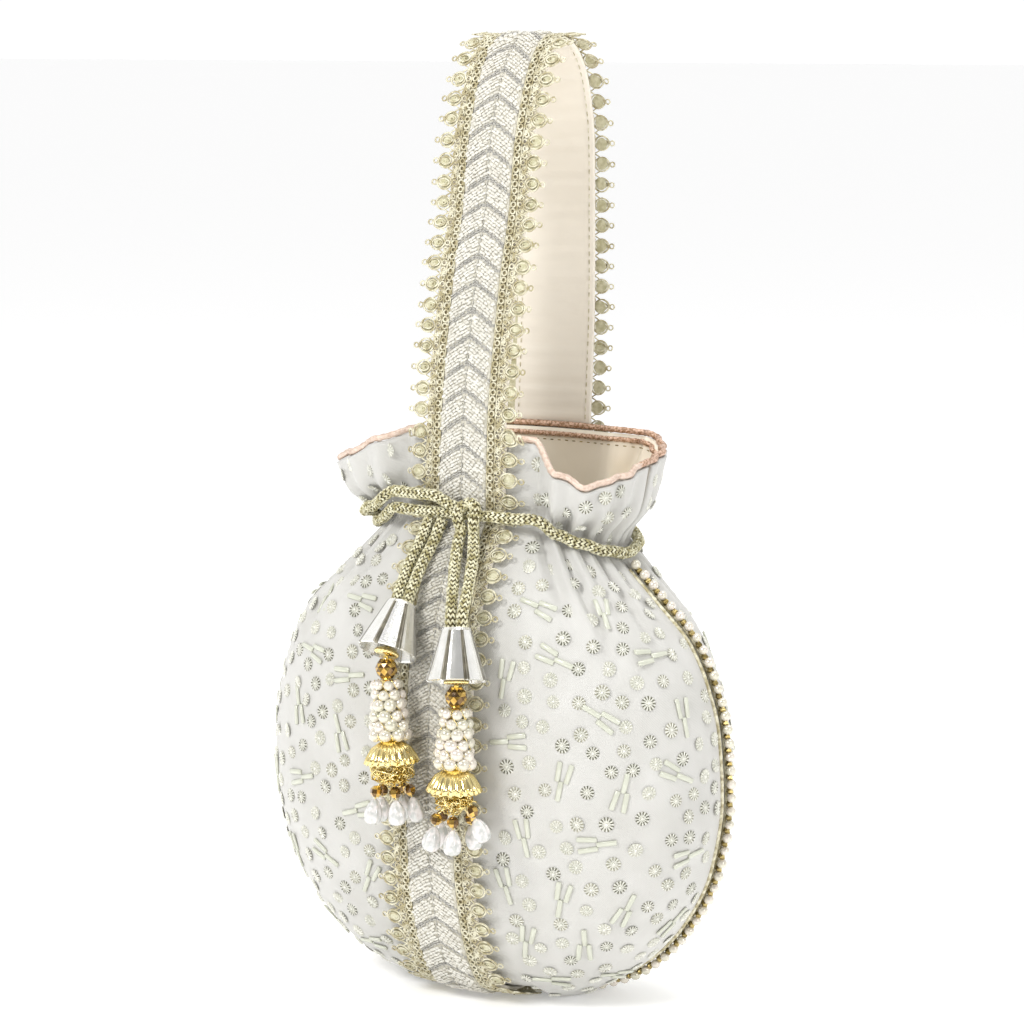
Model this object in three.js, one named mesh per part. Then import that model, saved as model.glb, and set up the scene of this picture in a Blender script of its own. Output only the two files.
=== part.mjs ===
// A small drawstring reticule: two round cloth panels sewn along a seam of pearls, gathered at the neck
// under a knitted cord, flared into a ruffled mouth, with one broad strap that climbs the front, loops
// over as the handle and runs down the back. Two beaded tassels hang from the cord's knot.
// Millimetres, +Z up, front towards -Y, +X to the right as seen from the front. The origin is on the
// surface that the bag stands on, under the strap, where the front of the bag rests.
import * as THREE from 'three';

// Driving dimensions of the bag's cloth body
const BAG_WIDTH = 197;
const FRONT_BULGE = 58;
const BACK_BULGE = 48.5;
const WIDEST_HEIGHT = 86;
const NECK_HEIGHT = 187;
const NECK_WIDTH = 101;
const NECK_FRONT = 32.5;
const NECK_BACK = 31;
const COLLAR_RISE = 38;
const MOUTH_FLARE = 24;
const COLLAR_LEAN = 3;
const PANEL_WALL = 1.6;
const LINING_WALL = 1;
const PIPING_RADIUS = 1.25;
const GATHER_DEPTH = 3.4;
const GATHER_REACH = 50;
const REST_SETBACK = 13;

// Clearance that neighbouring pieces keep
const GAP = 0.3;

// Side seam
const PEARL_RADIUS = 2.2;
const PEARL_CLEARANCE = 0.95;
const SEAM_PUCKER = 7;
const SIDE_TUCK = 0.15;

// Strap: a lined cloth strip with a knitted braid along its middle and lace along both edges
const STRIP_WIDTH = 35.6;
const STRIP_THICKNESS = 1.6;
const BRAID_WIDTH = 20.6;
const BRAID_THICKNESS = 2;
const LACE_THICKNESS = 1.1;
const LACE_VALLEY = 21.5;
const LACE_PEAK = 26.5;
const LACE_PITCH = 8.2;
const HANDLE_RISE = 154.5;

// Cord, knot and tassels
const CORD_RADIUS = 2.4;
const CORD_SEAT = 1.5;
const CORD_RAMP = 12;
const DOUBLE_STRAND_END = 186;
const STRAND_CLEARANCE = 1.7;
const KNOT_WIDTH = 12.5;
const KNOT_HEIGHT = 12;
const KNOT_DEPTH = 9;
const KNOT_OFFSET = 6.8;
const KNOT_LIFT = 1.2;
const CONE_HEIGHT = 20.5;
const CONE_TOP_RADIUS = 5.5;
const CONE_FOOT_RADIUS = 11.5;
const CONE_WALL = 0.8;
const STEM_RADIUS = 1.3;
const RING_RADIUS = 4.6;
const RING_HEIGHT = 2.4;
const FACET_BEAD_RADIUS = 4.25;
const FACET_BEAD_HEIGHT = 7.8;
const FACET_TABLE_RADIUS = 2.3;
const CLUSTER_HEIGHT = 23.5;
const CLUSTER_TOP_RADIUS = 6.3;
const CLUSTER_FOOT_RADIUS = 8.5;
const CAP_RADIUS = 10.3;
const CAP_HEIGHT = 8.8;
const CAP_DEPTH_OVER_BALL = 0.52;
const WIRE_RADIUS = 9;
const WIRE_HEIGHT = 13.4;
const SMALL_BEAD_RADIUS = 2.35;
const DROP_RADIUS = 3.25;
const DROP_LENGTH = 10;

// Sections of the body from the bottom seam to the widest level. lift: share of WIDEST_HEIGHT.
// width, front, back: shares of half the BAG_WIDTH and of the two bulges. squareF, squareB: how square
// the section is in front and behind (2 is an ellipse). tuck: share of the groove that takes the seam's
// pearls. press: share of the strap's height by which it is pressed into the cloth that it stands on.
const LOWER_SECTIONS = [
  {
    lift: 0, width: 0.35, front: 0, back: 0,
    squareF: 2.2, squareB: 2.2, tuck: 1, press: 1,
  },
  {
    lift: 0, width: 0.375, front: 0.155, back: 0.186,
    squareF: 2.3, squareB: 2.2, tuck: 1, press: 1,
  },
  {
    lift: 0, width: 0.4, front: 0.345, back: 0.31,
    squareF: 2.4, squareB: 2.2, tuck: 1, press: 1,
  },
  {
    lift: 0.07, width: 0.51, front: 0.586, back: 0.5,
    squareF: 2.5, squareB: 2.2, tuck: 0.45, press: 0.5,
  },
  {
    lift: 0.174, width: 0.655, front: 0.725, back: 0.64,
    squareF: 2.6, squareB: 2.2, tuck: 0.2, press: 0,
  },
  {
    lift: 0.384, width: 0.83, front: 0.88, back: 0.81,
    squareF: 2.6, squareB: 2.1, tuck: SIDE_TUCK, press: 0,
  },
  {
    lift: 0.674, width: 0.955, front: 0.97, back: 0.94,
    squareF: 2.7, squareB: 2, tuck: SIDE_TUCK, press: 0,
  },
  {
    lift: 1, width: 1, front: 1, back: 1,
    squareF: 2.75, squareB: 2, tuck: SIDE_TUCK, press: 0,
  },
];

// Sections from the widest level to the neck. lift: share of the height between them. width, front,
// back: swell over the neck's own size, 1 at the widest. squareF, squareB: as above.
const UPPER_SECTIONS = [
  { lift: 0.257, width: 0.969, front: 0.975, back: 0.99, squareF: 2.8, squareB: 2 },
  { lift: 0.475, width: 0.86, front: 0.895, back: 0.955, squareF: 2.8, squareB: 2 },
  { lift: 0.653, width: 0.69, front: 0.725, back: 0.82, squareF: 2.8, squareB: 2.1 },
  { lift: 0.812, width: 0.39, front: 0.47, back: 0.54, squareF: 2.6, squareB: 2.3 },
  { lift: 1, width: 0, front: 0, back: 0, squareF: 2.5, squareB: 2.5 },
];

// Sections of the collar above the neck. rise: share of the way from the neck to the rim.
// flare: share of MOUTH_FLARE reached there.
const COLLAR_SECTIONS = [
  { rise: 0.18, flare: 0.13 },
  { rise: 0.5, flare: 0.72 },
  { rise: 1, flare: 1 },
];

// How the mouth runs round the bag. at: degrees from the right seam towards the front.
// rim, neck: height over NECK_HEIGHT of the rim and of the gathered neck line, shares of COLLAR_RISE.
// flare: share of the outward flare, small where the strap holds the collar upright.
const MOUTH = [
  { at: 0, rim: 0.72, neck: -0.19, flare: 0.55 },
  { at: 20, rim: 0.6, neck: -0.12, flare: 0.6 },
  { at: 38, rim: 0.52, neck: -0.02, flare: 0.7 },
  { at: 50, rim: 0.66, neck: 0.06, flare: 0.65 },
  { at: 62, rim: 0.98, neck: 0.12, flare: 0.12 },
  { at: 90, rim: 1.02, neck: 0.14, flare: 0.05 },
  { at: 117, rim: 1.02, neck: 0.13, flare: 0.08 },
  { at: 127, rim: 0.9, neck: 0.11, flare: 0.6 },
  { at: 142, rim: 0.72, neck: 0.06, flare: 0.8 },
  { at: 160, rim: 0.58, neck: -0.02, flare: 0.95 },
  { at: 180, rim: 0.5, neck: -0.07, flare: 1 },
  { at: 205, rim: 0.6, neck: -0.06, flare: 0.95 },
  { at: 228, rim: 0.8, neck: 0, flare: 0.75 },
  { at: 243, rim: 0.92, neck: 0, flare: 0.12 },
  { at: 270, rim: 0.93, neck: 0, flare: 0.06 },
  { at: 297, rim: 0.92, neck: 0, flare: 0.12 },
  { at: 312, rim: 0.87, neck: -0.05, flare: 0.62 },
  { at: 340, rim: 0.78, neck: -0.14, flare: 0.58 },
];

// Gathers pulled in by the cord. at: degrees round the bag. spread: half of a gather's own angle.
// depth: share of GATHER_DEPTH. reach: share of GATHER_REACH that it runs down the body.
const GATHERS = [
  { at: 9, spread: 5.5, depth: 0.8, reach: 0.7 },
  { at: 20, spread: 5.5, depth: 1.1, reach: 1 },
  { at: 32, spread: 6, depth: 0.9, reach: 0.8 },
  { at: 44, spread: 6, depth: 1.2, reach: 1.35 },
  { at: 56, spread: 6, depth: 1.1, reach: 1.1 },
  { at: 123, spread: 5.5, depth: 1, reach: 0.9 },
  { at: 135, spread: 6, depth: 1.15, reach: 1.2 },
  { at: 147, spread: 6, depth: 0.85, reach: 0.75 },
  { at: 159, spread: 6, depth: 1.2, reach: 1.5 },
  { at: 171, spread: 5.5, depth: 0.9, reach: 0.8 },
  { at: 189, spread: 5.5, depth: 0.9, reach: 0.8 },
  { at: 201, spread: 6, depth: 1.15, reach: 1.2 },
  { at: 212, spread: 5.5, depth: 0.85, reach: 0.7 },
  { at: 224, spread: 6, depth: 1.1, reach: 1.1 },
  { at: 236, spread: 6, depth: 1, reach: 0.9 },
  { at: 303, spread: 5.5, depth: 1.05, reach: 1 },
  { at: 315, spread: 6, depth: 1.15, reach: 1.25 },
  { at: 327, spread: 6, depth: 0.9, reach: 0.8 },
  { at: 339, spread: 6, depth: 1.1, reach: 1.1 },
  { at: 351, spread: 5.5, depth: 0.8, reach: 0.7 },
];

// Side view of the handle's inner face. across: share of the way from the front of the rim to its back.
// rise: share of HANDLE_RISE over the rim.
const HANDLE = [
  { across: 0.004, rise: 0.046 },
  { across: 0.049, rise: 0.176 },
  { across: 0.153, rise: 0.404 },
  { across: 0.253, rise: 0.56 },
  { across: 0.308, rise: 0.71 },
  { across: 0.37, rise: 0.81 },
  { across: 0.46, rise: 0.905 },
  { across: 0.57, rise: 0.97 },
  { across: 0.69, rise: 1 },
  { across: 0.81, rise: 0.985 },
  { across: 0.92, rise: 0.935 },
  { across: 0.99, rise: 0.86 },
  { across: 1.033, rise: 0.762 },
  { across: 1.043, rise: 0.554 },
  { across: 1.043, rise: 0.326 },
  { across: 1.022, rise: 0.163 },
  { across: 1.002, rise: 0.046 },
];

// Places of the two tassels, in the side seam's own frame. coneTop and coneFoot are the ends of the
// cone's axis, foot is where the wire ball ends. Each dangle is a small bead with a pearl drop under
// it. around: degrees round the tassel. under: degrees up from its lower end.
const TASSELS = [
  {
    name: 'left', coneTop: [-12.2, -60.8, 163.2], coneFoot: [-12.6, -71.2, 145.5], foot: [-7.5, -74.8, 89],
    tails: [
      [[-5.8, -41.3, 193.1], [-7.4, -45.4, 185], [-9, -51.6, 176.6]],
      [[-11.8, -41.2, 193.1], [-13.2, -45.4, 185], [-14.6, -51.6, 176.6]],
    ],
    dangles: [
      { around: 20, under: 36 }, { around: 92, under: 38 }, { around: 164, under: 34 },
      { around: 236, under: 40 }, { around: 308, under: 36 },
    ],
  },
  {
    name: 'right', coneTop: [16.4, -67.2, 157.1], coneFoot: [19.1, -72, 137.3], foot: [18.7, -74, 80],
    tails: [
      [[4.2, -43.1, 191.3], [5.2, -48.5, 182.5], [9.6, -58.5, 171.5]],
      [[9.6, -42.9, 191.5], [12.6, -48.3, 182.5], [16.4, -58.5, 171.5]],
    ],
    dangles: [
      { around: 342, under: 72 }, { around: 45, under: 36 }, { around: 160, under: 36 },
      { around: 230, under: 38 }, { around: 300, under: 36 },
    ],
  },
];

// Mesh fineness
const CORD_SIDES = 8;
const PIPING_SIDES = 5;
const SEAM_STRING_STEPS = 46;
const DRAWSTRING_STEPS = 52;
const DOUBLE_STRAND_STEPS = 18;
const TAIL_STEPS = 7;

// Heights of the strap's layers over the cloth that it lies on
const STRIP_UNDERSIDE = GAP + 0.05;
const STRIP_FACE = STRIP_UNDERSIDE + STRIP_THICKNESS;
const BRAID_UNDERSIDE = STRIP_FACE + GAP + 0.05;
const BRAID_FACE = BRAID_UNDERSIDE + BRAID_THICKNESS;
const LACE_UNDERSIDE = STRIP_FACE + GAP + 0.35;
const LACE_INNER_EDGE = BRAID_WIDTH / 2 + GAP;
const GROOVE_DEPTH = 2 * PEARL_RADIUS + PEARL_CLEARANCE + 0.1;

const MATERIALS = {
  embroideredSilk: new THREE.MeshStandardMaterial({ color: 0xe9e8e0, roughness: 0.55, metalness: 0 }),
  satin: new THREE.MeshStandardMaterial({ color: 0xdbceb7, roughness: 0.4, metalness: 0 }),
  copperPiping: new THREE.MeshStandardMaterial({ color: 0xb5926f, roughness: 0.45, metalness: 0.4 }),
  pearl: new THREE.MeshStandardMaterial({ color: 0xefe9dc, roughness: 0.25, metalness: 0.1 }),
  knit: new THREE.MeshStandardMaterial({ color: 0xe4e2d4, roughness: 0.85, metalness: 0 }),
  lace: new THREE.MeshStandardMaterial({ color: 0xd0c8a8, roughness: 0.6, metalness: 0.2 }),
  cord: new THREE.MeshStandardMaterial({ color: 0xb3ac8a, roughness: 0.6, metalness: 0.25 }),
  silver: new THREE.MeshStandardMaterial({ color: 0xe8e8e6, roughness: 0.2, metalness: 0.9 }),
  gold: new THREE.MeshStandardMaterial({ color: 0xc79a3a, roughness: 0.25, metalness: 0.9 }),
  amberGlass: new THREE.MeshStandardMaterial({ color: 0x8a6418, roughness: 0.15, metalness: 0.3 }),
};

const vector = (x, y, z) => new THREE.Vector3(x, y, z);
const radians = THREE.MathUtils.degToRad;
const mix = THREE.MathUtils.lerp;
const smooth = (share) => THREE.MathUtils.smoothstep(share, 0, 1);
const signedPower = (value, power) => Math.sign(value) * Math.abs(value) ** power;

// Value of one column of the MOUTH table at an angle, eased between its rows.
function mouth(column, angle) {
  const degrees = THREE.MathUtils.euclideanModulo(THREE.MathUtils.radToDeg(angle), 360);
  const next = MOUTH.findIndex((row) => row.at > degrees);
  const upper = next < 0 ? { ...MOUTH[0], at: 360 } : MOUTH[next];
  const lower = next < 0 ? MOUTH[MOUTH.length - 1] : MOUTH[next - 1];
  return mix(lower[column], upper[column], smooth((degrees - lower.at) / (upper.at - lower.at)));
}

// All sections of the cloth, from the bottom seam to the rim, as real sizes.
function clothSections() {
  const lower = LOWER_SECTIONS.map((row) => ({
    ...row, z: row.lift * WIDEST_HEIGHT, half: row.width * BAG_WIDTH / 2,
    front: row.front * FRONT_BULGE, back: row.back * BACK_BULGE, follow: 0, rise: 0, flare: 0,
  }));
  const upper = UPPER_SECTIONS.map((row) => ({
    ...row, z: mix(WIDEST_HEIGHT, NECK_HEIGHT, row.lift), half: mix(NECK_WIDTH, BAG_WIDTH, row.width) / 2,
    front: mix(NECK_FRONT, FRONT_BULGE, row.front), back: mix(NECK_BACK, BACK_BULGE, row.back),
    tuck: SIDE_TUCK, press: 0, follow: smooth(row.lift), rise: 0, flare: 0,
  }));
  const neck = upper[upper.length - 1];
  const collar = COLLAR_SECTIONS.map((row) => ({ ...neck, rise: row.rise, flare: row.flare }));
  return [...lower, ...upper, ...collar];
}

const SECTIONS = clothSections();
const RIM = SECTIONS.length - 1;
const NECK = RIM - COLLAR_SECTIONS.length;

// Point on the bag's smooth outer form at one section, before gathers, grooves and thickness.
function formPoint(angle, level) {
  const section = SECTIONS[level];
  const isFront = Math.sin(angle) >= 0;
  const square = isFront ? section.squareF : section.squareB;
  const depth = isFront ? section.front : section.back;
  const x = section.half * signedPower(Math.cos(angle), 2 / square);
  const y = -depth * signedPower(Math.sin(angle), 2 / square);
  const neckLine = section.z + section.follow * mouth('neck', angle) * COLLAR_RISE;
  if (section.rise === 0) return vector(x, y, neckLine);
  const outward = new THREE.Vector2(
    signedPower(x / section.half, square - 1) / section.half,
    signedPower(y / depth, square - 1) / depth,
  ).setLength(MOUTH_FLARE * mouth('flare', angle) * section.flare);
  const rimLine = NECK_HEIGHT + COLLAR_RISE * mouth('rim', angle);
  const height = mix(neckLine, rimLine, section.rise);
  return vector(x + outward.x, y + outward.y + COLLAR_LEAN * section.rise, height);
}

// Outward normal of that form. On the side seam it stays in the seam's plane.
function formNormal(angle, level) {
  const step = radians(0.5);
  const onSeam = Math.abs(Math.sin(angle)) < 1e-9;
  const up = formPoint(angle, Math.min(level + 1, RIM)).sub(formPoint(angle, Math.max(level - 1, 0)));
  const around = onSeam
    ? vector(0, -Math.cos(angle), 0)
    : formPoint(angle + step, level).sub(formPoint(angle - step, level));
  return up.cross(around).normalize();
}

// How far the cloth is drawn in at a point: gathers near the neck, the seam's groove, the strap's bed.
function drawnIn(angle, level, point) {
  const section = SECTIONS[level];
  const degrees = THREE.MathUtils.euclideanModulo(THREE.MathUtils.radToDeg(angle), 360);
  let gathers = 0;
  for (const gather of GATHERS) {
    const aside = Math.abs(degrees - gather.at) / gather.spread;
    if (aside >= 1) continue;
    const below = (NECK_HEIGHT - section.z) / (GATHER_REACH * gather.reach);
    const fade = section.rise > 0 ? 1 - 0.55 * section.rise : smooth(1 - below);
    gathers += GATHER_DEPTH * gather.depth * fade * Math.cos(aside * Math.PI / 2) ** 2;
  }
  const fromSeam = Math.min(Math.abs(point.y) / SEAM_PUCKER, 1);
  const groove = section.rise > 0 ? 0 : section.tuck * GROOVE_DEPTH * (1 - fromSeam ** 2) ** 2;
  const besideStrap = (Math.abs(point.x) - LACE_PEAK - 3) / 4;
  const bed = section.press * BRAID_FACE * (1 - smooth(besideStrap));
  return gathers + Math.max(groove, bed);
}

// Point at a depth under the cloth's outer face (over it where depth is negative), at a whole section.
function layerPoint(angle, level, depth) {
  const point = formPoint(angle, level);
  const inward = drawnIn(angle, level, point) + depth;
  return point.addScaledVector(formNormal(angle, level), -inward);
}

// Angle at which a section passes the given distance from the bag's middle, on the front or the back.
function angleAt(x, level, isFront) {
  const section = SECTIONS[level];
  const square = isFront ? section.squareF : section.squareB;
  const angle = Math.acos(signedPower(x / section.half, square / 2));
  return isFront ? angle : 2 * Math.PI - angle;
}

// A closed mesh from loops of points. Its ends are joined to each other, fanned, or closed as strips.
function loft(loops, ends) {
  const size = loops[0].length;
  const faces = [];
  const quad = (a, b, c, d) => faces.push(a, b, c, a, c, d);
  const spans = ends === 'joined' ? loops.length : loops.length - 1;
  for (let i = 0; i < spans; i += 1) {
    const near = i * size;
    const far = ((i + 1) % loops.length) * size;
    for (let k = 0; k < size; k += 1) {
      const next = (k + 1) % size;
      quad(near + k, near + next, far + next, far + k);
    }
  }
  const last = (loops.length - 1) * size;
  if (ends === 'fanned') {
    for (let k = 1; k < size - 1; k += 1) {
      faces.push(0, k + 1, k, last, last + k, last + k + 1);
    }
  }
  if (ends === 'strips') {
    for (let k = 0; k < size / 2 - 1; k += 1) {
      const mirrored = size - 1 - k;
      quad(k, mirrored, mirrored - 1, k + 1);
      quad(last + k, last + k + 1, last + mirrored - 1, last + mirrored);
    }
  }
  return facingOut(loops.flat(), faces);
}

// Turns the faces round if they enclose a negative volume.
function facingOut(points, faces) {
  let volume = 0;
  for (let i = 0; i < faces.length; i += 3) {
    const [a, b, c] = [points[faces[i]], points[faces[i + 1]], points[faces[i + 2]]];
    volume += a.dot(b.clone().cross(c));
  }
  const geometry = new THREE.BufferGeometry().setFromPoints(points);
  geometry.setIndex(volume > 0 ? faces : faces.reverse());
  geometry.computeVertexNormals();
  return geometry;
}

// Round section with flat sides, in its own plane.
function roundShape(radius, sides) {
  const corners = Array.from({ length: sides }, (_, k) => {
    const turn = 2 * Math.PI * (k + 0.5) / sides;
    return new THREE.Vector2(radius * Math.cos(turn), radius * Math.sin(turn));
  });
  return new THREE.Shape(corners);
}

function tube(points, radius, steps) {
  return new THREE.ExtrudeGeometry(roundShape(radius, CORD_SIDES), {
    steps, extrudePath: new THREE.CatmullRomCurve3(points, false, 'centripetal'),
  });
}

const bag = new THREE.Group();
bag.position.y = REST_SETBACK;

function add(parent, name, geometry, material) {
  const mesh = new THREE.Mesh(geometry, material);
  mesh.name = name;
  parent.add(mesh);
  return mesh;
}

// Angles of the mesh's columns round the bag: seams, strap edges, gathers and the crests between them.
function columnAngles() {
  const fixed = [0, 3.5, 63, 76, 90, 104, 117, 176.5, 180, 183.5, 243, 256, 270, 284, 297, 356.5];
  const crests = [];
  for (let k = 0; k < GATHERS.length - 1; k += 1) {
    const [here, next] = [GATHERS[k], GATHERS[k + 1]];
    if (next.at - here.at < 2.5 * here.spread) crests.push((here.at + next.at) / 2);
  }
  return [...fixed, ...GATHERS.map((gather) => gather.at), ...crests].sort((a, b) => a - b).map(radians);
}

const COLUMNS = columnAngles();

// One round panel of the body: half of the columns, from seam to seam, with its own thickness.
function panelGeometry(isFront) {
  const angles = isFront
    ? COLUMNS.filter((angle) => angle <= Math.PI + 1e-9)
    : [...COLUMNS.filter((angle) => angle >= Math.PI - 1e-9), 2 * Math.PI];
  const side = isFront ? -1 : 1;
  const offSeam = (point) => point.setY(side * Math.max(side * point.y, GAP / 2));
  const loops = SECTIONS.map((_, level) => [
    ...angles.map((angle) => offSeam(layerPoint(angle, level, 0))),
    ...angles.toReversed().map((angle) => offSeam(layerPoint(angle, level, PANEL_WALL))),
  ]);
  return loft(loops, 'strips');
}

// Lining that shows inside the mouth, from the neck to the rim.
function liningGeometry() {
  const levels = Array.from({ length: RIM - NECK + 1 }, (_, k) => NECK + k);
  const outside = PANEL_WALL + GAP;
  const ring = (level, depth) => COLUMNS.map((angle) => layerPoint(angle, level, depth));
  const loops = [
    ...levels.toReversed().map((level) => ring(level, outside)),
    ...levels.map((level) => ring(level, outside + LINING_WALL)),
  ];
  return loft(loops, 'joined');
}

// Corded piping that sits on the edges of the panels and the lining.
function pipingGeometry() {
  const edgeMiddle = (PANEL_WALL + GAP + LINING_WALL) / 2;
  const loops = COLUMNS.map((angle) => {
    const edge = layerPoint(angle, RIM, edgeMiddle);
    const outward = formNormal(angle, RIM).setZ(0).normalize();
    const centre = edge.add(vector(0, 0, PIPING_RADIUS + GAP));
    return Array.from({ length: PIPING_SIDES }, (_, k) => {
      const turn = 2 * Math.PI * (k + 0.5) / PIPING_SIDES;
      return centre.clone()
        .addScaledVector(outward, PIPING_RADIUS * Math.cos(turn))
        .add(vector(0, 0, PIPING_RADIUS * Math.sin(turn)));
    });
  });
  return loft(loops, 'joined');
}

// String of pearls in the side seam's groove, down one side, under the bag and up the other.
function seamStringGeometry() {
  const over = -(PEARL_RADIUS + PEARL_CLEARANCE);
  const climb = (angle) => {
    const points = SECTIONS.slice(0, NECK).map((_, level) => layerPoint(angle, level, over));
    const last = points[points.length - 1];
    return [...points, last.clone().lerp(layerPoint(angle, NECK, over), 0.3)];
  };
  const middle = vector(0, 0, layerPoint(0, 0, over).z);
  return tube([...climb(0).reverse(), middle, ...climb(Math.PI)], PEARL_RADIUS, SEAM_STRING_STEPS);
}

add(bag, 'front_panel', panelGeometry(true), MATERIALS.embroideredSilk);
add(bag, 'back_panel', panelGeometry(false), MATERIALS.embroideredSilk);
add(bag, 'mouth_lining', liningGeometry(), MATERIALS.satin);
add(bag, 'mouth_piping', pipingGeometry(), MATERIALS.copperPiping);
add(bag, 'seam_pearls', seamStringGeometry(), MATERIALS.pearl);

// A station of the strap gives the point at a distance x from its middle line and a height over the
// cloth. On the body it follows the panel, above the rim it follows the handle's side view.
function bodyStation(level, isFront) {
  return (x, height) => layerPoint(angleAt(x, level, isFront), level, -height);
}

function betweenStations(near, far, share) {
  return (x, height) => near(x, height).lerp(far(x, height), share);
}

function handleStations(frontRim, backRim) {
  const path = HANDLE.map((row) => frontRim.clone().lerp(backRim, row.across).setX(0)
    .add(vector(0, 0, row.rise * HANDLE_RISE)));
  return path.map((point, k) => {
    const along = (path[k + 1] ?? backRim).clone().sub(path[k - 1] ?? frontRim);
    const outward = vector(0, -along.z, along.y).normalize();
    return (x, height) => point.clone().addScaledVector(outward, height - STRIP_UNDERSIDE).setX(x);
  });
}

// All stations, from the bottom seam up the front, over the handle and down the back to the seam.
function strapStations() {
  const startShare = (PEARL_RADIUS + 1) / (SECTIONS[1].front);
  const climb = (isFront) => {
    const start = betweenStations(bodyStation(0, isFront), bodyStation(1, isFront), startShare);
    const stations = [start];
    for (let level = 1; level <= RIM; level += 1) stations.push(bodyStation(level, isFront));
    return stations;
  };
  const front = climb(true);
  const back = climb(false).reverse();
  const frontRim = front[front.length - 1](0, STRIP_UNDERSIDE);
  const backRim = back[0](0, STRIP_UNDERSIDE);
  return [...front, ...handleStations(frontRim, backRim), ...back];
}

const STRAP = strapStations();

function strapLayerGeometry(halfWidth, underside, face) {
  const loops = STRAP.map((station) => [
    ...[-halfWidth, 0, halfWidth].map((x) => station(x, underside)),
    ...[halfWidth, 0, -halfWidth].map((x) => station(x, face)),
  ]);
  return loft(loops, 'fanned');
}

// Stations at even distances along the strap, two to each scallop of the lace.
function evenStations(spacing) {
  const lengths = [0];
  for (let k = 1; k < STRAP.length; k += 1) {
    const step = STRAP[k](0, BRAID_FACE).distanceTo(STRAP[k - 1](0, BRAID_FACE));
    lengths.push(lengths[k - 1] + step);
  }
  const total = lengths[lengths.length - 1];
  const count = 2 * Math.round(total / (2 * spacing));
  return Array.from({ length: count + 1 }, (_, n) => {
    const along = total * n / count;
    const next = Math.min(Math.max(lengths.findIndex((length) => length > along), 1), STRAP.length - 1);
    const near = n === count ? STRAP.length - 2 : next - 1;
    const share = (along - lengths[near]) / (lengths[near + 1] - lengths[near]);
    return betweenStations(STRAP[near], STRAP[near + 1], share);
  });
}

// Lace with one point of its edge at each scallop.
function laceGeometry(side) {
  const loops = evenStations(LACE_PITCH / 2).map((station, n) => {
    const reach = n % 2 ? LACE_PEAK : LACE_VALLEY;
    return [
      station(side * LACE_INNER_EDGE, LACE_UNDERSIDE),
      station(side * LACE_INNER_EDGE, LACE_UNDERSIDE + LACE_THICKNESS),
      station(side * reach, LACE_UNDERSIDE + LACE_THICKNESS / 2),
    ];
  });
  return loft(loops, 'fanned');
}

add(bag, 'strap_cloth', strapLayerGeometry(STRIP_WIDTH / 2, STRIP_UNDERSIDE, STRIP_FACE), MATERIALS.satin);
add(bag, 'chevron_braid', strapLayerGeometry(BRAID_WIDTH / 2, BRAID_UNDERSIDE, BRAID_FACE), MATERIALS.knit);
add(bag, 'lace_left', laceGeometry(-1), MATERIALS.lace);
add(bag, 'lace_right', laceGeometry(1), MATERIALS.lace);

// Middle of a cord that lies on the crests of the gathers, and is raised where it crosses the strap.
function cordPoint(angle, level) {
  const point = formPoint(angle, level);
  const overStrap = 1 - smooth((Math.abs(point.x) - LACE_PEAK - 1) / CORD_RAMP);
  const height = CORD_RADIUS + CORD_SEAT + BRAID_FACE * overStrap;
  const normal = formNormal(angle, level);
  return point.addScaledVector(normal.setZ(normal.z * overStrap).normalize(), height);
}

// Route of a cord round the neck between two angles, raised along the collar by the given distance.
function neckRoute(startAngle, endAngle, count, raise) {
  return Array.from({ length: count + 1 }, (_, k) => {
    const angle = mix(startAngle, endAngle, k / count);
    const point = cordPoint(angle, NECK);
    const collar = cordPoint(angle, NECK + 1).lerp(cordPoint(angle, NECK + 2), 0.5);
    return point.addScaledVector(collar.sub(point).normalize(), raise);
  });
}

const KNOT_CENTRE = layerPoint(
  angleAt(KNOT_OFFSET, NECK, true), NECK, -(BRAID_FACE + CORD_SEAT + KNOT_DEPTH / 2),
).add(vector(0, 0, KNOT_LIFT));
const KNOT_RIGHT = angleAt(KNOT_OFFSET + KNOT_WIDTH / 2 + GAP, NECK, true);
const KNOT_LEFT = angleAt(KNOT_OFFSET - KNOT_WIDTH / 2 - GAP, NECK, true);

// Cord from the knot round the right side and the back to the knot again.
function drawstringGeometry() {
  const points = neckRoute(KNOT_RIGHT, KNOT_LEFT - 2 * Math.PI, 60, 0);
  return tube(points, CORD_RADIUS, DRAWSTRING_STEPS);
}

// Second strand over the first one, from the knot to the left seam.
function doubleStrandGeometry() {
  const points = neckRoute(KNOT_LEFT, radians(DOUBLE_STRAND_END), 18, 2 * CORD_RADIUS + GAP + STRAND_CLEARANCE);
  return tube(points, CORD_RADIUS, DOUBLE_STRAND_STEPS);
}

// Knot: a ball with squared sides.
function knotGeometry() {
  const geometry = new THREE.SphereGeometry(1, 12, 8);
  const places = geometry.attributes.position;
  const squareness = 0.75;
  for (let k = 0; k < places.count; k += 1) {
    places.setXYZ(
      k,
      KNOT_WIDTH / 2 * signedPower(places.getX(k), squareness),
      KNOT_DEPTH / 2 * signedPower(places.getY(k), squareness),
      KNOT_HEIGHT / 2 * signedPower(places.getZ(k), squareness),
    );
  }
  return geometry;
}

add(bag, 'drawstring', drawstringGeometry(), MATERIALS.cord);
add(bag, 'drawstring_double', doubleStrandGeometry(), MATERIALS.cord);
add(bag, 'drawstring_knot', knotGeometry(), MATERIALS.cord).position.copy(KNOT_CENTRE);

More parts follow.
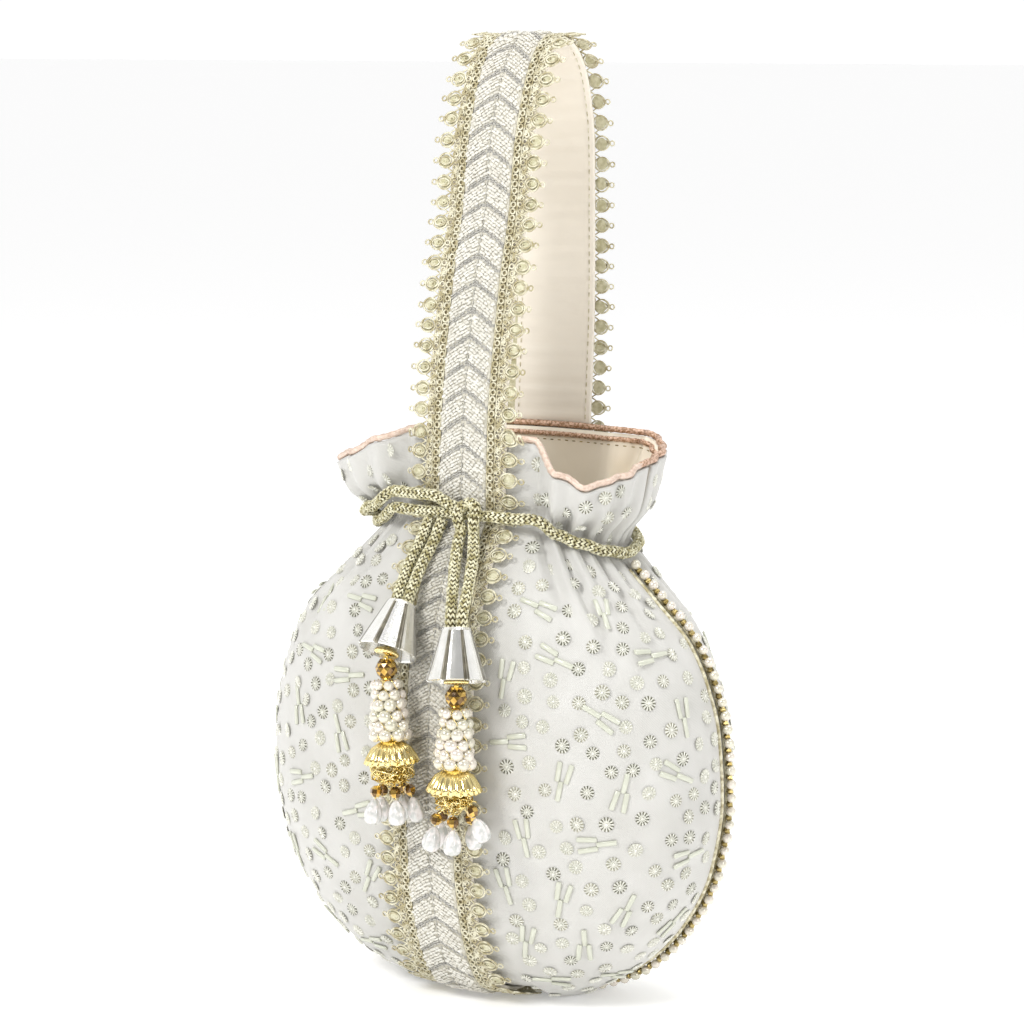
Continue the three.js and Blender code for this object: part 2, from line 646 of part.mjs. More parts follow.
// Turned shape about the Z axis whose every other column is drawn in, as flutes or rows of pearls.
// Profile points are [radius, height, flute], where flute is the share of the radius lost in a flute.
function flutedGeometry(profile, columns, isStaggered) {
  const geometry = new THREE.LatheGeometry(profile.map(([r, z]) => new THREE.Vector2(r, z)), columns);
  geometry.rotateX(Math.PI / 2);
  const places = geometry.attributes.position;
  for (let k = 0; k < places.count; k += 1) {
    const column = Math.floor(k / profile.length) % columns;
    const level = k % profile.length;
    const parity = isStaggered ? column + Math.floor(level / 2) : column;
    const keep = parity % 2 ? 1 - profile[level][2] : 1;
    places.setX(k, places.getX(k) * keep);
    places.setY(k, places.getY(k) * keep);
  }
  return geometry;
}

// All pieces of a tassel are drawn hanging down from z = 0 and then placed.
function coneGeometry() {
  const flute = 0.1;
  return flutedGeometry([
    [0, 0, 0], [CONE_TOP_RADIUS, 0, flute], [CONE_FOOT_RADIUS, -CONE_HEIGHT, flute],
    [CONE_FOOT_RADIUS - CONE_WALL, -CONE_HEIGHT, flute], [CONE_TOP_RADIUS - CONE_WALL, -CONE_WALL, flute],
    [0, -CONE_WALL, 0],
  ].reverse(), 20, false);
}

// Thread stem inside the cone with the gold ring at its end.
function stemGeometry() {
  const top = -CONE_WALL - GAP;
  const foot = -CONE_HEIGHT - RING_HEIGHT / 2;
  return flutedGeometry([
    [0, foot, 0], [RING_RADIUS, foot, 0], [RING_RADIUS, foot + RING_HEIGHT, 0],
    [STEM_RADIUS, foot + RING_HEIGHT, 0], [STEM_RADIUS, top, 0], [0, top, 0],
  ], 8, false);
}

function facetBeadGeometry() {
  return flutedGeometry([
    [0, -FACET_BEAD_HEIGHT, 0], [FACET_TABLE_RADIUS, -FACET_BEAD_HEIGHT, 0],
    [FACET_BEAD_RADIUS, -0.62 * FACET_BEAD_HEIGHT, 0], [FACET_BEAD_RADIUS, -0.38 * FACET_BEAD_HEIGHT, 0],
    [FACET_TABLE_RADIUS, 0, 0], [0, 0, 0],
  ], 8, false);
}

// Barrel of sewn pearls, six rows of them, wider at its foot.
function clusterGeometry() {
  const rows = 6;
  const profile = [[0, -CLUSTER_HEIGHT, 0]];
  for (let k = 0; k <= 2 * rows; k += 1) {
    const share = k / (2 * rows);
    const radius = mix(CLUSTER_FOOT_RADIUS, CLUSTER_TOP_RADIUS, share);
    const isBetweenRows = k % 2 === 0;
    const height = mix(-CLUSTER_HEIGHT, 0, share);
    profile.push(isBetweenRows ? [0.78 * radius, height, 0] : [radius, height, 0.2]);
  }
  profile.push([0, 0, 0]);
  return flutedGeometry(profile, 8, true);
}

// Domed, fluted cap with a scalloped rim.
function capGeometry() {
  const wall = 0.9;
  return flutedGeometry([
    [0, -wall, 0], [0.42 * CAP_RADIUS, -wall, 0.04], [CAP_RADIUS - wall, -0.55 * CAP_HEIGHT, 0.06],
    [CAP_RADIUS - wall, -CAP_HEIGHT, 0.12], [CAP_RADIUS, -CAP_HEIGHT, 0.12],
    [CAP_RADIUS, -0.45 * CAP_HEIGHT, 0.06], [0.45 * CAP_RADIUS, 0, 0.04], [0, 0, 0],
  ], 16, false);
}

// Ball of tangled wire, its top inside the cap.
function wireBallGeometry() {
  const profile = Array.from({ length: 6 }, (_, k) => {
    const turn = Math.PI * k / 5;
    return [WIRE_RADIUS * Math.sin(turn), -WIRE_HEIGHT / 2 * (1 + Math.cos(turn)), 0];
  });
  return flutedGeometry(profile, 10, false);
}

function smallBeadGeometry() {
  return flutedGeometry([
    [0, -SMALL_BEAD_RADIUS, 0], [SMALL_BEAD_RADIUS, -0.3 * SMALL_BEAD_RADIUS, 0],
    [SMALL_BEAD_RADIUS, 0.3 * SMALL_BEAD_RADIUS, 0], [0, SMALL_BEAD_RADIUS, 0],
  ], 6, false);
}

function dropGeometry() {
  return flutedGeometry([
    [0, -DROP_LENGTH, 0], [0.7 * DROP_RADIUS, -0.93 * DROP_LENGTH, 0], [DROP_RADIUS, -0.7 * DROP_LENGTH, 0],
    [0.6 * DROP_RADIUS, -0.32 * DROP_LENGTH, 0], [0, 0, 0],
  ], 6, false);
}

// Group whose -Z axis points from start to end.
function hangingGroup(start, end) {
  const group = new THREE.Group();
  group.position.copy(start);
  group.quaternion.setFromUnitVectors(vector(0, 0, -1), end.clone().sub(start).normalize());
  return group;
}

// Small bead on the wire ball's underside with a pearl drop below it.
function addDangle(parent, name, dangle) {
  const under = radians(dangle.under);
  const around = radians(dangle.around);
  const halfHeight = WIRE_HEIGHT / 2;
  const [ballR, ballZ] = [WIRE_RADIUS * Math.sin(under), -halfHeight * Math.cos(under)];
  const normal = new THREE.Vector2(Math.sin(under) / WIRE_RADIUS, -Math.cos(under) / halfHeight).normalize();
  const beadR = ballR + normal.x * (SMALL_BEAD_RADIUS + GAP);
  const beadZ = -halfHeight + ballZ + normal.y * (SMALL_BEAD_RADIUS + GAP);
  const droop = mix(0.2, 0.75, smooth((dangle.under - 40) / 50));
  const direction = new THREE.Vector2(droop, -Math.sqrt(1 - droop ** 2));
  const spot = (r, z) => vector(r * Math.cos(around), r * Math.sin(around), z);
  const bead = hangingGroup(spot(beadR, beadZ), spot(beadR + direction.x, beadZ + direction.y));
  parent.add(bead);
  add(bead, `bead_${name}`, smallBeadGeometry(), MATERIALS.amberGlass);
  add(bead, `drop_${name}`, dropGeometry(), MATERIALS.pearl).position.z = -SMALL_BEAD_RADIUS - GAP;
}

function addTassel(tassel) {
  const coneTop = vector(...tassel.coneTop);
  const coneAxisEnd = vector(...tassel.coneFoot);
  const cone = hangingGroup(coneTop, coneAxisEnd);
  bag.add(cone);
  add(cone, `cone_${tassel.name}`, coneGeometry(), MATERIALS.silver);
  add(cone, `cone_ring_${tassel.name}`, stemGeometry(), MATERIALS.gold);

  const axis = coneAxisEnd.clone().sub(coneTop).normalize();
  const ringFoot = coneTop.clone().addScaledVector(axis, CONE_HEIGHT + RING_HEIGHT / 2 + GAP);
  const string = hangingGroup(ringFoot, vector(...tassel.foot));
  bag.add(string);
  let down = FACET_TABLE_RADIUS * Math.sin(axis.angleTo(vector(...tassel.foot).sub(ringFoot)));
  const thread = (name, geometry, material, height) => {
    add(string, `${name}_${tassel.name}`, geometry, material).position.z = -down;
    down += height + GAP;
  };
  thread('facet_bead', facetBeadGeometry(), MATERIALS.amberGlass, FACET_BEAD_HEIGHT);
  thread('pearl_cluster', clusterGeometry(), MATERIALS.pearl, CLUSTER_HEIGHT);
  thread('cap', capGeometry(), MATERIALS.gold, CAP_DEPTH_OVER_BALL * CAP_HEIGHT);
  const ballGroup = new THREE.Group();
  ballGroup.position.z = -down;
  string.add(ballGroup);
  add(ballGroup, `wire_ball_${tassel.name}`, wireBallGeometry(), MATERIALS.gold);
  tassel.dangles.forEach((dangle, k) => addDangle(ballGroup, `${tassel.name}_${k + 1}`, dangle));

  tassel.tails.forEach((route, k) => {
    const aside = route[0][0] > tassel.tails[1 - k][0][0] ? 1 : -1;
    const sideways = vector(1, 0, 0).addScaledVector(axis, -axis.x).normalize();
    const end = coneTop.clone().addScaledVector(axis, -GAP)
      .addScaledVector(sideways, aside * (CORD_RADIUS + GAP / 2));
    const approach = end.clone().addScaledVector(axis, -2 * CORD_RADIUS);
    const points = [...route.map((place) => vector(...place)), approach, end];
    add(bag, `cord_tail_${tassel.name}_${k + 1}`, tube(points, CORD_RADIUS, TAIL_STEPS), MATERIALS.cord);
  });
}

TASSELS.forEach(addTassel);

export default bag;
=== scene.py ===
# %% [markdown]
# # A drawstring reticule in ivory silk
# A reticule is a small evening bag that closes with a cord. This notebook dresses the plain solids of
# such a bag: sequinned silk, a knitted cord, a braid with lace edges, and two beaded tassels.
# The solids come packed as a fixed frame. Every piece made here takes its place from the same sizes.

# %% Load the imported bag
import math

import bpy
import numpy as np
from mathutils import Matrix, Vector


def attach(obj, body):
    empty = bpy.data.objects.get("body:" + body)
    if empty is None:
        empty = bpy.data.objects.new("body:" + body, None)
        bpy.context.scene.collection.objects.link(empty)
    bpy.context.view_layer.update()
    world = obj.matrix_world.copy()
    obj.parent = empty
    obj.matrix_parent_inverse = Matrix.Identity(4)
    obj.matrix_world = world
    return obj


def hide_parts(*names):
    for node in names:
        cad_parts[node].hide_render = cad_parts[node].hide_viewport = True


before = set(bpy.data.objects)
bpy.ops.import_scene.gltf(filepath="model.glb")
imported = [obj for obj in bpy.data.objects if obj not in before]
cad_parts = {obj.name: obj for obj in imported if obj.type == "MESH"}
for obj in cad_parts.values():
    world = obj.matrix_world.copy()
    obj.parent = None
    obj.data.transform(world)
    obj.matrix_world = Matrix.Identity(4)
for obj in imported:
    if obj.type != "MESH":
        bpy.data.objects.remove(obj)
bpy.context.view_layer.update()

# %% [markdown]
# ## Camera
# The bag is seen from its front left, a little from above. A long lens far away keeps its sides
# nearly parallel, as product pictures do. The camera looks along one line, so its place and its turn
# follow from an azimuth, an elevation and a distance.

# %% Place the camera
MM = 0.001
AIM = Vector((0.002, 0.013, 0.192))
AZIMUTH, ELEVATION, DISTANCE = math.radians(30), math.radians(8.5), 1.3
VIEW_WIDTH = 0.4096

backwards = Vector((
    math.sin(AZIMUTH) * math.cos(ELEVATION),
    -math.cos(AZIMUTH) * math.cos(ELEVATION),
    math.sin(ELEVATION),
))
camera_data = bpy.data.cameras.new("Camera")
camera_data.sensor_width = 36
camera_data.lens = 36 * DISTANCE / VIEW_WIDTH
camera = bpy.data.objects.new("Camera", camera_data)
camera.location = AIM + backwards * DISTANCE
camera.rotation_mode = "QUATERNION"
camera.rotation_quaternion = (-backwards).to_track_quat("-Z", "Y")
bpy.context.scene.collection.objects.link(camera)
bpy.context.scene.camera = camera
print("lens", round(camera_data.lens, 1), "mm")

# %% [markdown]
# ## Tools for making meshes
# Beads, stitches and threads repeat in their thousands. The quick way is to make one small shape as a
# list of points and faces, and then to copy all its points at once with numpy. Lengths are in
# millimetres, measured from the bag's side seam. They turn into metres only when a mesh is made.

# %% Turn points and faces into a piece of the bag
SEAM_SETBACK = 13.0


def add_piece(name, shape, materials, stands_for=(), parts=None, is_flat=False, uv=None):
    """Makes one mesh that rides on the bag. parts gives a material's number for each face."""
    points, faces = shape
    mesh = bpy.data.meshes.new(name)
    mesh.from_pydata(((np.asarray(points) + (0, SEAM_SETBACK, 0)) * MM).tolist(), [], faces)
    for material in materials:
        mesh.materials.append(material)
    mesh.polygons.foreach_set("use_smooth", [not is_flat] * len(mesh.polygons))
    if parts is not None:
        mesh.polygons.foreach_set("material_index", np.asarray(parts, np.int32))
    if uv is not None:
        corner = np.zeros(len(mesh.loops), np.int32)
        mesh.loops.foreach_get("vertex_index", corner)
        layer = mesh.uv_layers.new(name="UVMap")
        layer.data.foreach_set("uv", np.asarray(uv, np.float32)[corner].ravel())
    mesh.update()
    piece = bpy.data.objects.new(name, mesh)
    bpy.context.scene.collection.objects.link(piece)
    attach(piece, "root")
    if stands_for:
        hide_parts(*stands_for)
    triangles = sum(len(face) - 2 for face in faces)
    print(f"{name}: {triangles} triangles")
    return piece


# %% Join shapes and copy one shape many times
def joined(*shapes):
    """One shape from several, and for each face the number of the shape that it came from."""
    points, faces, parts, start = [], [], [], 0
    for number, (some_points, some_faces) in enumerate(shapes):
        points.append(np.asarray(some_points, float).reshape(-1, 3))
        faces += [tuple(start + i for i in face) for face in some_faces]
        parts += [number] * len(some_faces)
        start += len(points[-1])
    return (np.concatenate(points), faces), parts


def copies(shape, places, frames, sizes=1.0):
    """Copies of a shape. frames holds the directions of its X, Y and Z axes at each place."""
    points, faces = np.asarray(shape[0], float), shape[1]
    places = np.asarray(places, float).reshape(-1, 3)
    sizes = np.broadcast_to(np.asarray(sizes, float), (len(places), 3))
    moved = np.einsum("nvk,nkj->nvj", points[None] * sizes[:, None], frames) + places[:, None]
    many = [tuple(i + k * len(points) for i in face) for k in range(len(places)) for face in faces]
    return moved.reshape(-1, 3), many


def unit(vectors):
    vectors = np.asarray(vectors, float)
    return vectors / np.maximum(np.linalg.norm(vectors, axis=-1, keepdims=True), 1e-12)


def frames_from(x_axes, z_axes):
    """Square frames whose X axes are given and whose Z axes lean as far towards z_axes as they can."""
    x_axes, z_axes = np.broadcast_arrays(unit(x_axes), np.asarray(z_axes, float))
    y_axes = unit(np.cross(z_axes, x_axes))
    return np.stack([x_axes, y_axes, np.cross(x_axes, y_axes)], axis=-2)


# %% Small shapes: a turned profile, a ball and a grain of thread
def turned(profile, columns, radial=None):
    """Turns a profile of (radius, height) about the Z axis. radial scales the radius by angle."""
    turn = 2 * np.pi * np.arange(columns) / columns
    keep = np.ones((len(profile), columns)) if radial is None else radial
    points, faces, rings = [], [], []
    for k, (radius, height) in enumerate(profile):
        if radius < 1e-9:
            rings.append([len(points)] * columns)
            points.append((0, 0, height))
            continue
        rings.append([len(points) + c for c in range(columns)])
        r = radius * keep[k]
        points += list(zip(r * np.cos(turn), r * np.sin(turn), np.full(columns, height)))
    for low, high in zip(rings, rings[1:]):
        for c in range(columns):
            n = (c + 1) % columns
            loop = list(dict.fromkeys((low[c], low[n], high[n], high[c])))
            if len(loop) > 2:
                faces.append(tuple(loop))
    return np.array(points, float), faces


def ball(columns=12, rows=8, radius=1.0):
    turns = np.linspace(-np.pi / 2, np.pi / 2, rows + 1)
    profile = [(radius * max(math.cos(t), 0), radius * math.sin(t)) for t in turns]
    profile[0], profile[-1] = (0, -radius), (0, radius)
    return turned(profile, columns)


def grain(length, width, thickness, sides=5):
    """A rounded stitch along X that lies on the XY plane."""
    points, faces = turned([(0, -1), (0.8, -0.55), (0.8, 0.55), (0, 1)], sides)
    points = points[:, [2, 0, 1]] * (length / 2, width / 2, thickness / 2)
    return points, faces


print("grain has", len(grain(2, 1, 1)[0]), "points; ball has", len(ball()[0]))


# %% Threads: tubes along a line
def spaced(path, step, is_closed=False):
    """The same line with points an even distance apart, about step."""
    path = np.asarray(path, float)
    if is_closed:
        path = np.vstack([path, path[:1]])
    along = np.concatenate([[0], np.cumsum(np.linalg.norm(np.diff(path, axis=0), axis=1))])
    count = max(2, int(round(along[-1] / step)) + 1)
    at = np.linspace(0, along[-1], count)
    even = np.stack([np.interp(at, along, path[:, k]) for k in range(3)], axis=1)
    return even[:-1] if is_closed else even


def curve_through(points, per_span=12):
    """A smooth line through a few points."""
    points = np.asarray(points, float)
    padded = np.vstack([2 * points[0] - points[1], points, 2 * points[-1] - points[-2]])
    t = np.linspace(0, 1, per_span, endpoint=False)[:, None]
    spans = []
    for a, b, c, d in zip(padded, padded[1:], padded[2:], padded[3:]):
        spans.append(0.5 * (2 * b + (c - a) * t + (2 * a - 5 * b + 4 * c - d) * t**2
                            + (3 * b - a - 3 * c + d) * t**3))
    return np.vstack(spans + [points[-1:]])


def frames_along(path, is_closed=False):
    """Along, side and up directions that travel down a line without twisting."""
    path = np.asarray(path, float)
    if is_closed:
        along = unit(np.roll(path, -1, axis=0) - np.roll(path, 1, axis=0))
    else:
        along = unit(np.gradient(path, axis=0))
    side = np.zeros_like(along)
    guess = np.array([0, 0, 1.0]) if abs(along[0][2]) < 0.8 else np.array([0, 1.0, 0])
    side[0] = unit(guess - along[0] * (guess @ along[0]))
    for k in range(1, len(path)):
        side[k] = unit(side[k - 1] - along[k] * (side[k - 1] @ along[k]))
    return along, side, np.cross(along, side)


def tube(path, radius, sides=6, is_closed=False):
    path = np.asarray(path, float)
    _, side, up = frames_along(path, is_closed)
    turn = 2 * np.pi * (np.arange(sides) + 0.5) / sides
    radius = np.broadcast_to(np.asarray(radius, float), len(path))[:, None, None]
    ring = np.cos(turn)[None, :, None] * side[:, None] + np.sin(turn)[None, :, None] * up[:, None]
    points = (path[:, None] + radius * ring).reshape(-1, 3)
    spans = len(path) if is_closed else len(path) - 1
    faces = [
        (i * sides + k, i * sides + (k + 1) % sides,
         (i + 1) % len(path) * sides + (k + 1) % sides, (i + 1) % len(path) * sides + k)
        for i in range(spans) for k in range(sides)
    ]
    if not is_closed:
        last = (len(path) - 1) * sides
        faces += [tuple(range(sides))[::-1], tuple(last + k for k in range(sides))]
    return points, faces


def ring_of_thread(radius, thread, segments=12, sides=4):
    turn = 2 * np.pi * np.arange(segments) / segments
    circle = np.stack([radius * np.cos(turn), radius * np.sin(turn), np.zeros(segments)], axis=1)
    return tube(circle, thread, sides, is_closed=True)


print("a ring of thread has", len(ring_of_thread(1, 0.2)[1]), "faces")

# %% [markdown]
# ## The form of the cloth
# The cloth is one closed form. Each row of the table is a section at one height, with its width and
# its depth in front and behind. A number says how square the section is. A smooth curve runs through
# each column, so the silk has no corners where the plain solid has them.

# %% Sections of the bag, from the bottom seam to the rim
BAG_WIDTH, FRONT_BULGE, BACK_BULGE = 197, 58, 48.5
WIDEST_HEIGHT, NECK_HEIGHT, NECK_WIDTH, NECK_FRONT, NECK_BACK = 86, 187, 101, 32.5, 31
COLLAR_RISE, MOUTH_FLARE, COLLAR_LEAN = 38, 24, 3
PANEL_WALL, LINING_WALL, GAP = 1.6, 1.0, 0.3

# lift, width, front, back, square in front, square behind, tuck of the seam, press of the strap
LOWER = [
    (0, 0.35, 0, 0, 2.2, 2.2, 1, 1), (0, 0.375, 0.155, 0.186, 2.3, 2.2, 1, 1),
    (0, 0.4, 0.345, 0.31, 2.4, 2.2, 1, 1), (0.07, 0.51, 0.586, 0.5, 2.5, 2.2, 0.45, 0.5),
    (0.174, 0.655, 0.725, 0.64, 2.6, 2.2, 0.2, 0), (0.384, 0.83, 0.88, 0.81, 2.6, 2.1, 0.15, 0),
    (0.674, 0.955, 0.97, 0.94, 2.7, 2, 0.15, 0), (1, 1, 1, 1, 2.75, 2, 0.15, 0),
]
# lift, width, front, back, square in front, square behind
UPPER = [
    (0.257, 0.969, 0.975, 0.99, 2.8, 2), (0.475, 0.86, 0.895, 0.955, 2.8, 2),
    (0.653, 0.69, 0.725, 0.82, 2.8, 2.1), (0.812, 0.39, 0.47, 0.54, 2.6, 2.3),
    (1, 0, 0, 0, 2.5, 2.5),
]
# rise, flare
COLLAR = [(0.18, 0.13), (0.5, 0.72), (1, 1)]


def ease(t):
    t = np.clip(t, 0, 1)
    return t * t * (3 - 2 * t)


def real_sections():
    rows = []
    for lift, width, front, back, sf, sb, tuck, press in LOWER:
        rows.append((lift * WIDEST_HEIGHT, width * BAG_WIDTH / 2, front * FRONT_BULGE,
                     back * BACK_BULGE, sf, sb, tuck, press, 0, 0, 0))
    for lift, width, front, back, sf, sb in UPPER:
        rows.append((WIDEST_HEIGHT + lift * (NECK_HEIGHT - WIDEST_HEIGHT),
                     (NECK_WIDTH + width * (BAG_WIDTH - NECK_WIDTH)) / 2,
                     NECK_FRONT + front * (FRONT_BULGE - NECK_FRONT),
                     NECK_BACK + back * (BACK_BULGE - NECK_BACK), sf, sb, 0.15, 0,
                     float(ease(lift)), 0, 0))
    for rise, flare in COLLAR:
        rows.append(rows[len(LOWER) + len(UPPER) - 1][:9] + (rise, flare))
    return np.array(rows, float)


SECTIONS = real_sections()
RIM = len(SECTIONS) - 1
NECK = RIM - len(COLLAR)
print("sections:", len(SECTIONS), "neck at", NECK, "rim at", RIM)


# %% Smooth curves through the table
def smooth_slopes(rows):
    """Slopes that let a curve pass through all rows without swinging past any of them."""
    steps = np.diff(rows, axis=0)
    slopes = np.zeros_like(rows)
    before, after = steps[:-1], steps[1:]
    turns = before * after
    safe = np.where(turns > 0, before + after, 1)
    slopes[1:-1] = np.where(turns > 0, 2 * turns / safe, 0)
    slopes[0], slopes[-1] = steps[0], steps[-1]
    return slopes


SLOPES = smooth_slopes(SECTIONS)


def section_at(level):
    """Columns of the table at any level between its rows."""
    level = np.clip(np.asarray(level, float), 0, RIM)
    low = np.minimum(level.astype(int), RIM - 1)
    t = (level - low)[..., None]
    a, b, da, db = SECTIONS[low], SECTIONS[low + 1], SLOPES[low], SLOPES[low + 1]
    curve = ((2 * t**3 - 3 * t**2 + 1) * a + (t**3 - 2 * t**2 + t) * da
             + (3 * t**2 - 2 * t**3) * b + (t**3 - t**2) * db)
    return np.moveaxis(curve, -1, 0)


print("width at the widest level:", round(float(section_at(7)[1]) * 2, 1), "mm")

# %% How the mouth runs round the bag
# degrees from the right seam towards the front, height of the rim, height of the neck, flare
MOUTH = np.array([
    (0, 0.72, -0.19, 0.55), (20, 0.6, -0.12, 0.6), (38, 0.52, -0.02, 0.7), (50, 0.66, 0.06, 0.65),
    (62, 0.98, 0.12, 0.12), (90, 1.02, 0.14, 0.05), (117, 1.02, 0.13, 0.08), (127, 0.9, 0.11, 0.6),
    (142, 0.72, 0.06, 0.8), (160, 0.58, -0.02, 0.95), (180, 0.5, -0.07, 1), (205, 0.6, -0.06, 0.95),
    (228, 0.8, 0, 0.75), (243, 0.92, 0, 0.12), (270, 0.93, 0, 0.06), (297, 0.92, 0, 0.12),
    (312, 0.87, -0.05, 0.62), (340, 0.78, -0.14, 0.58), (360, 0.72, -0.19, 0.55),
])


def mouth_at(angle):
    """Rim, neck and flare at an angle, eased between the rows."""
    degrees = np.degrees(angle) % 360
    row = np.clip(np.searchsorted(MOUTH[:, 0], degrees, side="right") - 1, 0, len(MOUTH) - 2)
    t = ease((degrees - MOUTH[row, 0]) / (MOUTH[row + 1, 0] - MOUTH[row, 0]))
    return [MOUTH[row, c] + t * (MOUTH[row + 1, c] - MOUTH[row, c]) for c in (1, 2, 3)]


def signed_power(value, power):
    return np.sign(value) * np.abs(value) ** power


def form(angle, level):
    """Points of the smooth form and the level outward direction. Angle 0 is the right seam."""
    angle, level = np.broadcast_arrays(np.asarray(angle, float), np.asarray(level, float))
    z, half, front, back, sf, sb, _, _, follow, rise, flare = section_at(level)
    is_front = np.sin(angle) >= 0
    square = np.where(is_front, sf, sb)
    depth = np.maximum(np.where(is_front, front, back), 1e-6)
    x = half * signed_power(np.cos(angle), 2 / square)
    y = -depth * signed_power(np.sin(angle), 2 / square)
    outward = unit(np.stack([signed_power(x / half, square - 1) / half,
                             signed_power(y / depth, square - 1) / depth], axis=-1))
    rim, neck, spread = mouth_at(angle)
    neck_line = z + follow * neck * COLLAR_RISE
    height = neck_line + rise * (NECK_HEIGHT + COLLAR_RISE * rim - neck_line)
    out = (MOUTH_FLARE * spread * flare)[..., None] * outward
    return np.stack([x + out[..., 0], y + out[..., 1] + COLLAR_LEAN * rise, height], axis=-1), outward


def form_normal(angle, level):
    up = (form(angle, np.minimum(level + 0.05, RIM))[0]
          - form(angle, np.maximum(level - 0.05, 0))[0])
    _, outward = form(angle, level)
    ahead, behind = form(angle + 0.01, level)[0], form(angle - 0.01, level)[0]
    climb = (ahead - behind)[..., 2] / np.maximum(np.linalg.norm((ahead - behind)[..., :2], axis=-1), 1e-6)
    around = np.stack([outward[..., 1], -outward[..., 0], climb], axis=-1)
    return unit(np.cross(up, around))


print("normal at the front:", np.round(form_normal(np.array(math.pi / 2), np.array(7.0)), 2))

# %% [markdown]
# ## Gathers, seam and the strap's bed
# A drawstring pulls the silk into folds that start at the neck and fade down the bag. Each fold is a
# row with its place, width, depth and reach. Between them run finer creases, which a formula can
# make. The seam is tucked in for its pearls, and the strap presses into the cloth where it stands.

# %% Fold table and the drawn-in depth
# degrees round the bag, half of the fold's angle, share of the depth, share of the reach
GATHERS = [
    (9, 5.5, 0.8, 0.7), (20, 5.5, 1.1, 1), (32, 6, 0.9, 0.8), (44, 6, 1.2, 1.35), (56, 6, 1.1, 1.1),
    (123, 5.5, 1, 0.9), (135, 6, 1.15, 1.2), (147, 6, 0.85, 0.75), (159, 6, 1.2, 1.5),
    (171, 5.5, 0.9, 0.8), (189, 5.5, 0.9, 0.8), (201, 6, 1.15, 1.2), (212, 5.5, 0.85, 0.7),
    (224, 6, 1.1, 1.1), (236, 6, 1, 0.9), (303, 5.5, 1.05, 1), (315, 6, 1.15, 1.25),
    (327, 6, 0.9, 0.8), (339, 6, 1.1, 1.1), (351, 5.5, 0.8, 0.7),
]
GATHER_DEPTH, GATHER_REACH, SEAM_PUCKER = 3.4, 50, 7
PEARL_RADIUS, PEARL_CLEARANCE = 2.2, 0.95
GROOVE_DEPTH = 2 * PEARL_RADIUS + PEARL_CLEARANCE + 0.1
STRIP_UNDERSIDE, STRIP_THICKNESS, BRAID_THICKNESS = GAP + 0.05, 1.6, 2.0
STRIP_FACE = STRIP_UNDERSIDE + STRIP_THICKNESS
BRAID_UNDERSIDE = STRIP_FACE + GAP + 0.05
BRAID_FACE = BRAID_UNDERSIDE + BRAID_THICKNESS
LACE_PEAK = 26.5


def drawn_in(angle, level, point):
    z, _, _, _, _, _, tuck, press, _, rise, _ = section_at(level)
    degrees = np.degrees(angle) % 360
    depth = np.zeros(np.shape(degrees))
    for at, spread, share, reach in GATHERS:
        fade = np.where(rise > 0, 1 - 0.55 * rise, ease(1 - (NECK_HEIGHT - z) / (GATHER_REACH * reach)))
        aside = np.clip(np.abs(degrees - at) / spread, 0, 1)
        depth += GATHER_DEPTH * share * fade * np.cos(aside * np.pi / 2) ** 2
    near_cord = np.exp(-(((z - NECK_HEIGHT) + 40 * rise) / 13) ** 2)
    beside = ease((np.abs(point[..., 0]) - LACE_PEAK) / 6)
    fine = np.sin(np.radians(degrees) * 61) + np.sin(np.radians(degrees) * 97 + 1)
    depth += 0.45 * near_cord * beside * fine
    from_seam = np.minimum(np.abs(point[..., 1]) / SEAM_PUCKER, 1)
    groove = tuck * GROOVE_DEPTH * (1 - from_seam**2) ** 2 * (1 - ease(rise / 0.18))
    bed = press * BRAID_FACE * (1 - ease((np.abs(point[..., 0]) - LACE_PEAK - 3) / 4))
    return depth + np.maximum(groove, bed)


def skin(angle, level, over=0.0):
    """Points at a height over the cloth's outer face, and the normals there."""
    angle, level = np.broadcast_arrays(np.asarray(angle, float), np.asarray(level, float))
    point, _ = form(angle, level)
    normal = form_normal(angle, level)
    return point + normal * (over - drawn_in(angle, level, point))[..., None], normal


print("neck front:", np.round(skin(math.pi / 2, NECK)[0], 1))

# %% [markdown]
# ## Shared effects
# Three effects return in many finishes. Threads cross in a weave. Dyed fibre and old metal drift
# slowly in colour; in the cord yarn and the copper piping the pale end of that drift also paints
# highlights and glints. Handled surfaces are smoother in patches. Each is a node group with named
# inputs, so that a finish only gives its own numbers.

# %% A helper for node groups
def new_group(name, inputs, outputs):
    """An empty shader node group. inputs and outputs list (name, kind, value)."""
    group = bpy.data.node_groups.new(name, "ShaderNodeTree")
    for title, kind, value in inputs:
        socket = group.interface.new_socket(title, in_out="INPUT", socket_type=f"NodeSocket{kind}")
        if value is not None:
            socket.default_value = value
    for title, kind in outputs:
        group.interface.new_socket(title, in_out="OUTPUT", socket_type=f"NodeSocket{kind}")
    start, end = group.nodes.new("NodeGroupInput"), group.nodes.new("NodeGroupOutput")
    return group, start, end


def math_node(tree, operation, a, b=None):
    node = tree.nodes.new("ShaderNodeMath")
    node.operation = operation
    for slot, value in enumerate((a, b)):
        if isinstance(value, bpy.types.NodeSocket):
            tree.links.new(value, node.inputs[slot])
        elif value is not None:
            node.inputs[slot].default_value = value
    return node.outputs[0]


